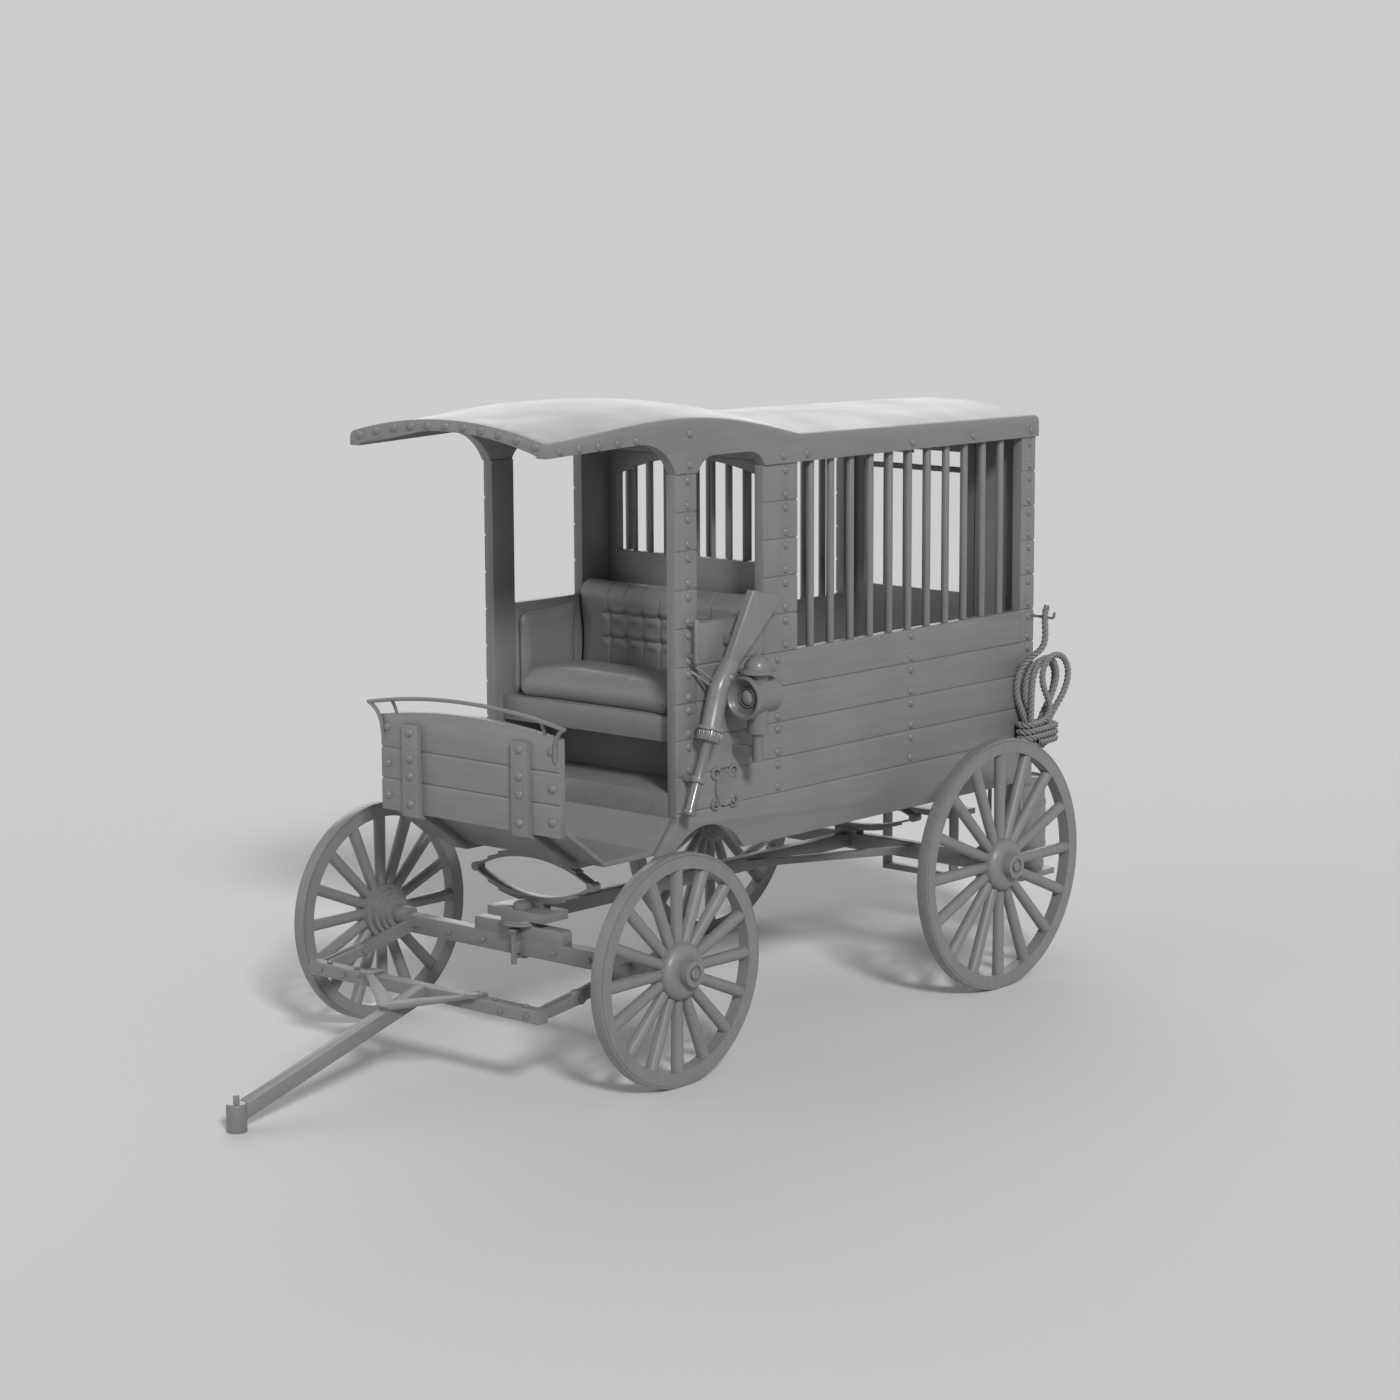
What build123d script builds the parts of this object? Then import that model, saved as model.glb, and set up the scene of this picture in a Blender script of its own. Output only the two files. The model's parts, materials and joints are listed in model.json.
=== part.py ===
"""Horse-drawn jail wagon: spoked wheels, turning fore-carriage, towing pole, driver's cab and barred cage.

Millimetres, +Z up, front towards -Y, the wagon's left side towards +X.
The origin lies on the floor, in the middle of the overall length.
"""
import math
import os

from build123d import *

os.makedirs("parts", exist_ok=True)

# Overall layout: stations along the wagon are measured from the front axle, positive to the rear
POLE_REACH = 1600
WHEELBASE = 2140
BODY_REAR_STATION = 2809
KEG_R = 102
KEG_GAP = 61
OVERALL_LENGTH = POLE_REACH + BODY_REAR_STATION + KEG_GAP + 2 * KEG_R
FRONT_AXLE_Y = POLE_REACH - OVERALL_LENGTH / 2
REAR_AXLE_Y = FRONT_AXLE_Y + WHEELBASE
SEAT_GAP = 0.3
FIT_GAP = 0.2

# Wheels
FRONT_WHEEL_R = 471.4
REAR_WHEEL_R = 558.8
WHEEL_X = 847
TYRE_W = 54
TYRE_T = 12
FELLOE_T = 50
SPOKES = 16
SPOKE_HUB_R = 23
SPOKE_RIM_R = TYRE_W / 2 - 1
SPOKE_SINK = 6
HUB_IN = 112
HUB_OUT = 98
HUB_STEP = 22
HUB_RING = 26
FLANGE_R = 115
FLANGE_LIP = 20
FLANGE_BACK = 16
FLANGE_FRONT = 4
NOSE_R = 52.5
NOSE_LEN = 38
NOSE_SHOULDER = 10
NOSE_CUP_R = 34
NOSE_CUP_DEEP = 8
ARM_R = 20
BORE_END = 70
QUARTER = math.sqrt(0.5)

# Axles with their collars
BEAM_DEEP = 60
BEAM_INSET = 147
BEAM_HALF = WHEEL_X - BEAM_INSET
FRONT_BEAM_DROP = 61.4
FRONT_BEAM_H = 75
FRONT_BEAM_LOW = FRONT_WHEEL_R - FRONT_BEAM_DROP
FRONT_BEAM_TOP = FRONT_BEAM_LOW + FRONT_BEAM_H
REAR_BEAM_DROP = 33.8
REAR_BEAM_H = 70
REAR_BEAM_LOW = REAR_WHEEL_R - REAR_BEAM_DROP
REAR_BEAM_TOP = REAR_BEAM_LOW + REAR_BEAM_H
COLLAR_R = 40
COLLAR_ROOT = 40
END_PLAY = 1

# Bolster, turning plates, king pin and draw hook
BOLSTER_HALF = 250
BOLSTER_H = 55
BOLSTER_TOP = FRONT_BEAM_TOP + BOLSTER_H
BOLSTER_ROUND = 18
PLATE_R = 90
PLATE_T = 10.5
PLATE_SEAT = BOLSTER_TOP + PLATE_T + SEAT_GAP
KING_R = 16
KING_GAP = 0.3
KING_HEAD_R = 40
KING_HEAD_H = 18
KING_DOME_H = 20
KING_NUT_R = 26
KING_NUT_H = 15
HOOK_R = 12
HOOK_TAIL = 35
HOOK_LOW = FRONT_BEAM_LOW - HOOK_TAIL
HOOK_BELOW = 28
HOOK_TOP = BOLSTER_TOP - HOOK_BELOW
HOOK_STAND = 24
HOOK_HEAD_R = 22
HOOK_HEAD_H = 12
HOOK_LUG_HALF = 18
HOOK_LUG_INSET = 12

# Transom, reach and its braces
TRANSOM_HALF = 160
TRANSOM_H = 38.7
TRANSOM_LOW = PLATE_SEAT + PLATE_T
TRANSOM_TOP = TRANSOM_LOW + TRANSOM_H
TRANSOM_FRONT = FRONT_AXLE_Y - 45
TRANSOM_REAR = FRONT_AXLE_Y + 105
REACH_W = 64
REACH_H = 60
BRACE_RUN = 740
BRACE_ROOT = 48
BRACE_END_X = 386
BRACE_W = 20
BRACE_H = 32
BRACE_DROP = 42

# Elliptic springs
SPRING_OFFSET = 76
FRONT_SPRING_Y = FRONT_AXLE_Y + SPRING_OFFSET
FRONT_SPRING_H = 246
FRONT_SPRING_HALF = 330
REAR_SPRING_HALF = 380
LEAF_T = 9
LEAF_W = 46
LEAVES = 3
LEAF_STEP = 0.74
EYE_R = 19
SPRING_PAD_HALF = 62
SPRING_PAD_H = 16
SPRING_PAD_SIDE = 6
SPRING_PAD_SINK = 4

# Pole hinge, crossbar and pole
FUTCHELL_REACH = 330
HINGE_DROP = 20
HINGE_INSET = 227
HINGE_Y = FRONT_AXLE_Y - FUTCHELL_REACH
HINGE_Z = FRONT_BEAM_LOW - HINGE_DROP
HINGE_X = WHEEL_X - HINGE_INSET
HINGE_PIN_R = 10
HINGE_GAP = 0.3
HINGE_NUT_R = 18
FUTCHELL_W = 24
FUTCHELL_EYE_R = 30
FUTCHELL_ROOT_H = 55
EYE_NECK = 4
CHEEK_T = 11
CHEEK_GAP = 1
CHEEK_EYE_R = 27
CHEEK_ROOT = 8
CROSSBAR_SIZE = 55
CROSSBAR_ROUND = 6
CROSSBAR_LEAD = 230
CROSSBAR_DROP = 32.5
CROSSBAR_END = 30
CROSSBAR_Y = HINGE_Y - CROSSBAR_LEAD
CROSSBAR_Z = HINGE_Z - CROSSBAR_DROP
CROSSBAR_HALF = HINGE_X + CROSSBAR_END
POLE_W = 58
TIP_R = 40
TIP_Y = FRONT_AXLE_Y - POLE_REACH + TIP_R
TIP_H = 110
TIP_ROUND = 8
TIP_PIN_R = 12
TIP_PIN_H = 32
POLE_TIP_TOP = 98
POLE_BACK = CROSSBAR_Y - CROSSBAR_SIZE / 2
POLE_BACK_TOP = CROSSBAR_Z + CROSSBAR_SIZE / 2
POLE_SLOPE = math.atan2(POLE_BACK_TOP - POLE_TIP_TOP, POLE_BACK - TIP_Y)
BRACE_IRON_T = 12
BRACE_SPREAD = 297
BRACE_LENGTH = 190
BRACE_PADDLE = 62
BRACE_ARM = 42

# Body: half width, and levels chained upwards from the front spring
BODY_HALF = 540
FOOT_INSET = 36
FOOT_HALF = BODY_HALF - FOOT_INSET
WALL_T = 50
INSIDE = BODY_HALF - WALL_T
PAN_DROP = 22
PAN_LOW = TRANSOM_TOP + FRONT_SPRING_H
PAN_Z = PAN_LOW + PAN_DROP
WELL_DEEP = 132
FLOOR_TOP = PAN_Z + WELL_DEEP
FLOOR_T = 52
FLOOR_LOW = FLOOR_TOP - FLOOR_T
CAB_FLOOR_STEP = 88
CAB_FLOOR_TOP = FLOOR_TOP + CAB_FLOOR_STEP
SKIRT_DROP = 192
SKIRT_Z = FLOOR_TOP - SKIRT_DROP
SILL_H = 602
SILL_Z = FLOOR_TOP + SILL_H
CAB_SILL_H = 173
CAB_SILL_Z = SILL_Z + CAB_SILL_H
OPEN_H = 788
POST_TOP = SILL_Z + OPEN_H
POST_FOOT_DROP = 10
POST_FOOT = FLOOR_TOP - POST_FOOT_DROP
PLANKS = 4
PLANK_FIRST = 3
PLANK_H = (SILL_H - PLANK_FIRST) / PLANKS
PLANK_SEAMS = tuple(FLOOR_TOP + PLANK_FIRST + k * PLANK_H for k in range(PLANKS + 1))
POST_BOARDS = 5
POST_SEAMS = tuple(SILL_Z + k * OPEN_H / POST_BOARDS for k in range(1, POST_BOARDS))
GROOVE_W = 12
GROOVE_DEEP = 7

# Body: stations
CAB_FRONT_STATION = 349
CAB_FRONT = FRONT_AXLE_Y + CAB_FRONT_STATION
CAB_LEN = 548
CAB_POST_Y = CAB_FRONT + CAB_LEN
BODY_REAR = FRONT_AXLE_Y + BODY_REAR_STATION
FRONT_POST_D = 130
CAB_POST_D = 220
REAR_POST_D = 104
REAR_FRAME_T = 50
SILL_BEAM_INSET = 240
SILL_BEAM_X = BODY_HALF - SILL_BEAM_INSET
SILL_BEAM_W = 60
SILL_BEAM_H = 70
SILL_BEAM_LOW = FLOOR_LOW - SILL_BEAM_H
SILL_BEAM_START = 30
BEARER_H = 56
BEARER_LOW = SILL_BEAM_LOW - BEARER_H
BEARER_D = 80

# Foot-well, wheel arch and dash
TOE_REACH = 266
TOE_RISE = 34
TOE_TOP_Y = FRONT_AXLE_Y - TOE_REACH
TOE_TOP_Z = FLOOR_TOP + TOE_RISE
PAN_LEAD = 42
PAN_FRONT = FRONT_AXLE_Y - PAN_LEAD
RISER_RUN = 106
RISER_DROP = 12
PAN_REAR = CAB_FRONT - RISER_RUN
RISER_TOP = FLOOR_TOP - RISER_DROP
ARCH_LEAD = 95
ARCH_RUN = 430
ARCH_SKEW = 0.5163
ARCH_CROWN = 65
ARCH_FRONT = PAN_REAR + ARCH_LEAD
ARCH_MID = ARCH_FRONT + ARCH_RUN * ARCH_SKEW
ARCH_REAR = ARCH_FRONT + ARCH_RUN
ARCH_TOP = FLOOR_TOP - ARCH_CROWN
DASH_T = 36
DASH_LOW = FLOOR_TOP
DASH_H = 395
DASH_SIDE_TOP = DASH_LOW + DASH_H
DASH_CROWN = 40
DASH_PLANK = 130
DASH_SEAMS = (DASH_LOW + DASH_PLANK, DASH_LOW + 2 * DASH_PLANK)
STRAP_INSET = 194
STRAP_X = FOOT_HALF - STRAP_INSET
STRAP_W = 90
STRAP_T = 26
STRAP_SLACK = 1.25 * STRAP_T
STRAP_HEAD = 23
STRAP_TOP = DASH_SIDE_TOP - STRAP_HEAD
STRAP_TAIL = 100
RAIL_OVERHANG = 56
RAIL_HALF = FOOT_HALF + RAIL_OVERHANG
RAIL_RISE = 37
RAIL_END_Z = DASH_SIDE_TOP + RAIL_RISE
RAIL_BOW = 58
RAIL_R = 11
RAIL_POST_INSET = 84
RAIL_POST_X = FOOT_HALF - RAIL_POST_INSET
RAIL_POST_R = 9
RAIL_POST_TOP = RAIL_END_Z + RAIL_BOW * (1 - (RAIL_POST_X / RAIL_HALF) ** 2)

# Partition and cage
PARTITION_T = 40
PARTITION_Y = CAB_POST_Y + CAB_POST_D - PARTITION_T
WINDOW_JAMB = 42
WINDOW_HALF = INSIDE - WINDOW_JAMB
WINDOW_HEAD = 15
WINDOW_CROWN = POST_TOP - WINDOW_HEAD
WINDOW_RISE = 85
WINDOW_SIDE_TOP = WINDOW_CROWN - WINDOW_RISE
WINDOW_SIDE_H = 335
WINDOW_LOW = WINDOW_SIDE_TOP - WINDOW_SIDE_H
PARTITION_BARS = 9
PARTITION_BAR_R = 11
BAR_R = 17
CAGE_BARS = 11
CAGE_LEAD = 112
CAGE_FIRST = CAB_POST_Y + CAB_POST_D + CAGE_LEAD
CAGE_PITCH = (BODY_REAR - REAR_POST_D - CAGE_FIRST) / CAGE_BARS

# Rear frame and door
REAR_PANEL_W = 258
DOOR_EDGE_GAP = 6
DOOR_LEFT = INSIDE - REAR_PANEL_W
DOOR_RIGHT = -INSIDE + DOOR_EDGE_GAP
DOOR_LOW = FLOOR_TOP + PLANK_FIRST
DOOR_TOP = POST_TOP - DOOR_EDGE_GAP
DOOR_STILE = 70
DOOR_RAIL_H = 48
DOOR_RAIL_Z = SILL_Z + DOOR_RAIL_H
DOOR_HEAD = 85
DOOR_BARS = 4
DOOR_BAR_R = 14
DOOR_CROSS_DROP = 169
DOOR_CROSS_Z = DOOR_TOP - DOOR_CROSS_DROP
DOOR_HINGE_OUT = 14
DOOR_KNUCKLE_R = 13
DOOR_KNUCKLE_H = 90
DOOR_STRAP_LEN = 330
DOOR_STRAP_T = 8
DOOR_STRAP_H = 44
DOOR_HINGES = (DOOR_LOW + 177, DOOR_LOW + 557, DOOR_TOP - DOOR_HEAD)
DOOR_HASP_UP = 397
DOOR_HASP_LEN = 90
DOOR_HASP_H = 60

# Roof: station from the front axle, side overhang, shoulder and crown height above the posts
CAGE_ROOF_START = CAB_FRONT_STATION + CAB_LEN + CAB_POST_D + 22
ROOF_CAB = (
    (-400, 8, 166, 238),
    (40, 6, 200, 262),
    (459, 8, 218, 274),
    (819, 10, 180, 242),
    (CAGE_ROOF_START, 10, 112, 176),
)
ROOF_REAR_LIP = 10
ROOF_CAGE = (
    (CAGE_ROOF_START, 10, 112, 176),
    (BODY_REAR_STATION + ROOF_REAR_LIP, 10, 92, 150),
)
ROOF_SKIN = 46
ROOF_SIDE = 50
SHOULDER_R = 34
CANOPY_LIP_Z = POST_TOP + 110
CANOPY_ARCH_TOP = POST_TOP + 132
CANOPY_ARCH_RUN = 205
CAB_ARCH_TOP = POST_TOP + 64
CAB_ARCH_RUN = 105
ARCH_BULGE = 0.34

# Seat
SEAT_INSET = 50
SEAT_FRONT = CAB_FRONT + SEAT_INSET
SEAT_OVERHANG = 240
SEAT_H = 302
SEAT_TOP = CAB_FLOOR_TOP + SEAT_H
SEAT_BOARD = 103
SEAT_LOW = SEAT_TOP - SEAT_BOARD
CUSHION_H = 100
CUSHION_GAP = 16
CUSHION_ROUND = 38
SOFT_GAP = 3
BACK_SETBACK = 70
BACK_Y = CAB_POST_Y + BACK_SETBACK
BACK_H = 470
BACK_TOP = SEAT_TOP + BACK_H
BACK_ROLL_R = 62
BACK_T = 96
BACK_LEAN = 26
ARM_PANEL_T = 28
ARM_PANEL_DROP = 13
ARM_PANEL_TOP = CAB_SILL_Z - ARM_PANEL_DROP
ARM_PANEL_ROUND = 40
ARM_PANEL_GAP = 12

# Lamps
LAMP_STAND = 126
LAMP_X = BODY_HALF + LAMP_STAND
LAMP_SETBACK = 360
LAMP_Y = CAB_FRONT + LAMP_SETBACK
LAMP_UP = 465
LAMP_Z = FLOOR_TOP + LAMP_UP
LAMP_R = 75
LAMP_LEN = 150
LAMP_FRONT = LAMP_Y - LAMP_LEN / 2
LAMP_RING_R = 90
LAMP_RING_T = 22
LAMP_MOUTH = LAMP_FRONT - LAMP_RING_T
LAMP_MOUTH_R = 79
LAMP_CONE_DEEP = 84
LAMP_SEAT_R = 39
LAMP_SEAT_H = 8
LAMP_LENS_R = 30
LAMP_LENS_RISE = 10
LAMP_NECK_R = 44
LAMP_BEAD_R = 53
LAMP_BEAD_H = 15
LAMP_BEAD_DROP = 30
LAMP_BRIM_R = 82
LAMP_BRIM_UP = 95
LAMP_BRIM_Z = LAMP_Z + LAMP_BRIM_UP
LAMP_BRIM_T = 8
LAMP_BRIM_FALL = 12
LAMP_DOME_R = 56
LAMP_DOME_H = 54
LAMP_SOCKET_DROP = 155
LAMP_STEM_R = 23
LAMP_STEM_DROP = 275
LAMP_ARM_DROP = 233
LAMP_ARM_H = 40
LAMP_ARM_W = 30

# Long gun: its bends are given as station from the front axle and height above the floor
GUN_STAND = 76
GUN_X = BODY_HALF + GUN_STAND
GUN_MUZZLE = (338, 14)
GUN_COLLAR = (471, 345)
GUN_BEND = (524, 515)
GUN_WRIST = (599, 612)
GUN_BUTT_TOE = (722, 897)
GUN_BUTT_HEEL = (920, 848)
GUN_BUTT_T = 40
GUN_BUTT_ROUND = 9
GUN_NECK_HALF = 28
GUN_NECK_SINK = 20
GUN_BODY_R = 42
GUN_BEND_R = 120
GUN_RING_R = 56
GUN_RING_T = 16
GUN_COLLAR_R = 51
GUN_COLLAR_H = 46
GUN_COLLAR_SINK = 8
GUN_FLUTES = 14
GUN_FLUTE_R = 5
GUN_BARREL_R = 21
GUN_BORE_R = 12
GUN_BORE_DEEP = 60
MUZZLE_R = 25
MUZZLE_H = 20
BRACKET_ROD_R = 6
BRACKET_ROD_GAP = 30
BRACKET_POST = (439, 600)
BRACKET_SEAT = (661, 692)
BRACKET_SEAT_W = 50
BRACKET_SEAT_H = 30
BRACKET_RING_T = 9
BRACKET_RING_H = 24
BRACKET_ARM_W = 18
BRACKET_PLACE = 0.55

# Hand grips
GRIP_SETBACK = 74
GRIP_Y = CAB_FRONT + GRIP_SETBACK
GRIP_STAND = 45
GRIP_UP = 625
GRIP_LOW = FLOOR_TOP + GRIP_UP
GRIP_H = 176
GRIP_TOP = GRIP_LOW + GRIP_H
GRIP_R = 12
GRIP_LEG_R = 9.6

# Rope hank and its peg
HANK_INSET = 4
HANK_Y = BODY_REAR - HANK_INSET
HANK_DROP = 40
HANK_LOW = FLOOR_TOP - HANK_DROP
HANK_W = 320
HANK_FOOT = 224
HANK_SWING = 38
HANK_H = 450
HANK_WAIST = 0.6
HANK_T = 112
ROPE_R = 14
PEG_INSET = 22
PEG_Y = BODY_REAR - PEG_INSET
PEG_UP = 572
PEG_Z = FLOOR_TOP + PEG_UP
PEG_R = 11
PEG_HEAD_R = 20
STRAND_OUT = 96
PEG_OUT = STRAND_OUT + 2 * ROPE_R

# Keg and rear steps
KEG_INSET = 155
KEG_X = BODY_HALF - KEG_INSET
KEG_Y = BODY_REAR + KEG_GAP + KEG_R
KEG_DROP = 18
KEG_TOP = SKIRT_Z - KEG_DROP
KEG_H = 445
KEG_LOW = KEG_TOP - KEG_H
KEG_BULGE = 14
HOOP_T = 2.5
HOOP_H = 26
HOOP_LEVELS = (0.06, 0.28, 0.72, 0.94)
STEP_X = (DOOR_LEFT + DOOR_RIGHT) / 2
STEP_HALF = 205
STEP_D = 190
STEP_T = 28
STEP_LEVELS = (SKIRT_Z - 508, SKIRT_Z - 218)
HANGER_T = 14
HANGER_W = 60
HANGER_LAP = 120
RACK_LAP = 90



def station_box(x0, x1, y0, y1, z0, z1):
    """Add a plain block between two opposite corners."""
    with Locations(((x0 + x1) / 2, (y0 + y1) / 2, (z0 + z1) / 2)):
        Box(abs(x1 - x0), abs(y1 - y0), abs(z1 - z0))


def side_plane(x):
    """Plane across the wagon at x: local x runs to the rear, local y runs up."""
    return Plane(origin=(x, 0, 0), x_dir=(0, 1, 0), z_dir=(1, 0, 0))


def cross_plane(y):
    """Plane along the wagon at y: local x runs to the left side, local y runs up, facing forward."""
    return Plane.XZ.offset(-y)


def cap_mid(half, rise):
    """Point halfway along a round cap of the given half width and rise, from its rim to its top."""
    bend = (half ** 2 + rise ** 2) / (2 * rise)
    turn = math.atan2(half, bend - rise) / 2
    return bend * math.sin(turn), rise - bend * (1 - math.cos(turn))


def save(part, name):
    """Label one piece and write it to its own file."""
    part.label = name
    export_step(part, f"parts/{name}.step")


def side_groove(side, y, level):
    """V groove outline on a plank wall's outer face, to be run along the wall from y."""
    with BuildSketch(cross_plane(y)) as groove:
        with BuildLine():
            Polyline(
                (side * (BODY_HALF - GROOVE_DEEP), level),
                (side * (BODY_HALF + 1), level + GROOVE_W / 2 + 1),
                (side * (BODY_HALF + 1), level - GROOVE_W / 2 - 1),
                close=True,
            )
        make_face()
    return groove.sketch


def cross_groove(face_y, outward, level):
    """V groove outline on a cross plank's face, to be run across the wagon from its centreline."""
    with BuildSketch(side_plane(0)) as groove:
        with BuildLine():
            Polyline(
                (face_y - outward * GROOVE_DEEP, level),
                (face_y + outward, level + GROOVE_W / 2 + 1),
                (face_y + outward, level - GROOVE_W / 2 - 1),
                close=True,
            )
        make_face()
    return groove.sketch


# Wheels: name, side, axle station, radius
WHEELS = (
    ("front_left", 1, FRONT_AXLE_Y, FRONT_WHEEL_R),
    ("front_right", -1, FRONT_AXLE_Y, FRONT_WHEEL_R),
    ("rear_left", 1, REAR_AXLE_Y, REAR_WHEEL_R),
    ("rear_right", -1, REAR_AXLE_Y, REAR_WHEEL_R),
)

for name, side, axle_y, radius in WHEELS:
    centre = (side * WHEEL_X, axle_y, radius)
    rim_plane = Plane(origin=centre, x_dir=(0, 1, 0), z_dir=(1, 0, 0))
    profile_plane = Plane(origin=(0, axle_y, radius), x_dir=(1, 0, 0), z_dir=(0, -1, 0))
    with BuildPart() as tyre:
        with BuildSketch(rim_plane):
            Circle(radius)
            Circle(radius - TYRE_T, mode=Mode.SUBTRACT)
        extrude(amount=TYRE_W / 2, both=True)
    save(tyre.part, f"tyre_{name}")

    felloe_out = radius - TYRE_T - FIT_GAP
    felloe_in = felloe_out - FELLOE_T
    with BuildPart() as wheel:
        with BuildSketch(rim_plane):
            Circle(felloe_out)
            Circle(felloe_in, mode=Mode.SUBTRACT)
        extrude(amount=TYRE_W / 2, both=True)
        with BuildSketch(profile_plane):
            bore = ARM_R + FIT_GAP
            shoulder_r = NOSE_R + NOSE_SHOULDER
            dome_start = TYRE_W / 2 + FLANGE_FRONT
            dome_end = HUB_OUT - NOSE_LEN
            hub_steps = (
                (-HUB_IN, bore),
                (-HUB_IN, shoulder_r),
                (-HUB_IN + HUB_STEP, shoulder_r),
                (-HUB_IN + HUB_STEP, NOSE_R + HUB_RING),
                (-HUB_IN + 2 * HUB_STEP, NOSE_R + HUB_RING),
                (-HUB_IN + 2 * HUB_STEP, FLANGE_R - FLANGE_LIP),
                (-TYRE_W / 2 - FLANGE_BACK, FLANGE_R - FLANGE_LIP),
                (-TYRE_W / 2 - FLANGE_BACK, FLANGE_R),
                (dome_start, FLANGE_R),
            )
            nose_steps = (
                (dome_end, shoulder_r),
                (dome_end, NOSE_R),
                (HUB_OUT, NOSE_R),
                (HUB_OUT, NOSE_CUP_R),
                (HUB_OUT - NOSE_CUP_DEEP, NOSE_CUP_R),
                (HUB_OUT - NOSE_CUP_DEEP, 0),
                (BORE_END, 0),
                (BORE_END, bore),
                (-HUB_IN, bore),
            )
            with BuildLine():
                Polyline(*[(side * (WHEEL_X + x), r) for x, r in hub_steps])
                dome_x = dome_start + (dome_end - dome_start) * QUARTER
                dome_r = shoulder_r + (FLANGE_R - shoulder_r) * QUARTER
                ThreePointArc(
                    (side * (WHEEL_X + dome_start), FLANGE_R),
                    (side * (WHEEL_X + dome_x), dome_r),
                    (side * (WHEEL_X + dome_end), shoulder_r),
                )
                Polyline(*[(side * (WHEEL_X + x), r) for x, r in nose_steps])
            make_face()
        revolve(axis=Axis((0, axle_y, radius), (1, 0, 0)))
        root_r = FLANGE_R - SPOKE_SINK
        spoke_len = felloe_in - root_r + SPOKE_SINK
        for k in range(SPOKES):
            turn = 2 * math.pi * k / SPOKES
            reach = (0, math.cos(turn), math.sin(turn))
            root = (side * WHEEL_X, axle_y + root_r * reach[1], radius + root_r * reach[2])
            with Locations(Plane(origin=root, x_dir=(1, 0, 0), z_dir=reach)):
                Cone(SPOKE_HUB_R, SPOKE_RIM_R, spoke_len, align=(Align.CENTER, Align.CENTER, Align.MIN))
    save(wheel.part, f"wheel_{name}")

# Axles: name, station, beam levels, wheel radius
AXLES = (
    ("front_axle", FRONT_AXLE_Y, FRONT_BEAM_LOW, FRONT_BEAM_TOP, FRONT_WHEEL_R),
    ("rear_axle", REAR_AXLE_Y, REAR_BEAM_LOW, REAR_BEAM_TOP, REAR_WHEEL_R),
)
for name, axle_y, beam_low, beam_top, radius in AXLES:
    with BuildPart() as axle:
        station_box(-BEAM_HALF, BEAM_HALF, axle_y - BEAM_DEEP / 2, axle_y + BEAM_DEEP / 2, beam_low, beam_top)
        for side in (-1, 1):
            root = (side * (BEAM_HALF - COLLAR_ROOT), axle_y, radius)
            collar_plane = Plane(origin=root, x_dir=(0, 1, 0), z_dir=(side, 0, 0))
            with BuildSketch(collar_plane):
                Circle(COLLAR_R)
            extrude(amount=BEAM_INSET - HUB_IN - END_PLAY + COLLAR_ROOT)
            with BuildSketch(collar_plane):
                Circle(ARM_R)
            extrude(amount=BEAM_INSET + BORE_END - END_PLAY + COLLAR_ROOT)
        if name == "front_axle":
            with BuildSketch(Plane.XY.offset(beam_low)):
                with Locations((0, axle_y)):
                    Circle(KING_R + KING_GAP)
            extrude(amount=beam_top - beam_low, mode=Mode.SUBTRACT)
    save(axle.part, name)

# Bolster on the front axle, with the lower turning plate
with BuildPart() as front_bolster:
    bolster_y0 = FRONT_AXLE_Y - BEAM_DEEP / 2
    station_box(-BOLSTER_HALF, BOLSTER_HALF, bolster_y0, bolster_y0 + BEAM_DEEP, FRONT_BEAM_TOP, BOLSTER_TOP)
    fillet(front_bolster.edges().filter_by(Axis.Y).group_by(Axis.Z)[-1], radius=BOLSTER_ROUND)
    with BuildSketch(Plane.XY.offset(BOLSTER_TOP)):
        with Locations((0, FRONT_AXLE_Y)):
            Circle(PLATE_R)
    extrude(amount=PLATE_T)
    with BuildSketch(Plane.XY.offset(FRONT_BEAM_TOP)):
        with Locations((0, FRONT_AXLE_Y)):
            Circle(KING_R + KING_GAP)
    extrude(amount=BOLSTER_TOP + PLATE_T - FRONT_BEAM_TOP, mode=Mode.SUBTRACT)
save(front_bolster.part, "front_bolster")

# Draw hook: a headed pin held on the front of the axle
with BuildPart() as draw_hook:
    hook_y = FRONT_AXLE_Y - BEAM_DEEP / 2 - HOOK_STAND
    with BuildSketch(Plane.XY.offset(HOOK_LOW)):
        with Locations((0, hook_y)):
            Circle(HOOK_R)
    extrude(amount=HOOK_TOP - HOOK_LOW)
    with BuildSketch(Plane.XY.offset(HOOK_TOP)):
        with Locations((0, hook_y)):
            Circle(HOOK_HEAD_R)
    extrude(amount=HOOK_HEAD_H)
    lug_low = FRONT_BEAM_LOW + HOOK_LUG_INSET
    lug_top = FRONT_BEAM_TOP - HOOK_LUG_INSET
    station_box(-HOOK_LUG_HALF, HOOK_LUG_HALF, hook_y, hook_y + HOOK_STAND, lug_low, lug_top)
save(draw_hook.part, "draw_hook")

# Futchell arms from the axle to the pole hinge
with BuildPart() as futchells:
    for side in (-1, 1):
        root_y = FRONT_AXLE_Y - BEAM_DEEP / 2
        mid_z = (FRONT_BEAM_LOW + FRONT_BEAM_TOP) / 2
        with BuildSketch(side_plane(side * HINGE_X)):
            with BuildLine():
                Polyline(
                    (root_y, mid_z - FUTCHELL_ROOT_H / 2),
                    (root_y, mid_z + FUTCHELL_ROOT_H / 2),
                    (HINGE_Y, HINGE_Z + FUTCHELL_EYE_R - EYE_NECK),
                    (HINGE_Y, HINGE_Z - FUTCHELL_EYE_R + EYE_NECK),
                    close=True,
                )
            make_face()
            with Locations((HINGE_Y, HINGE_Z)):
                Circle(FUTCHELL_EYE_R)
                Circle(HINGE_PIN_R + HINGE_GAP, mode=Mode.SUBTRACT)
        extrude(amount=FUTCHELL_W / 2, both=True)
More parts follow.
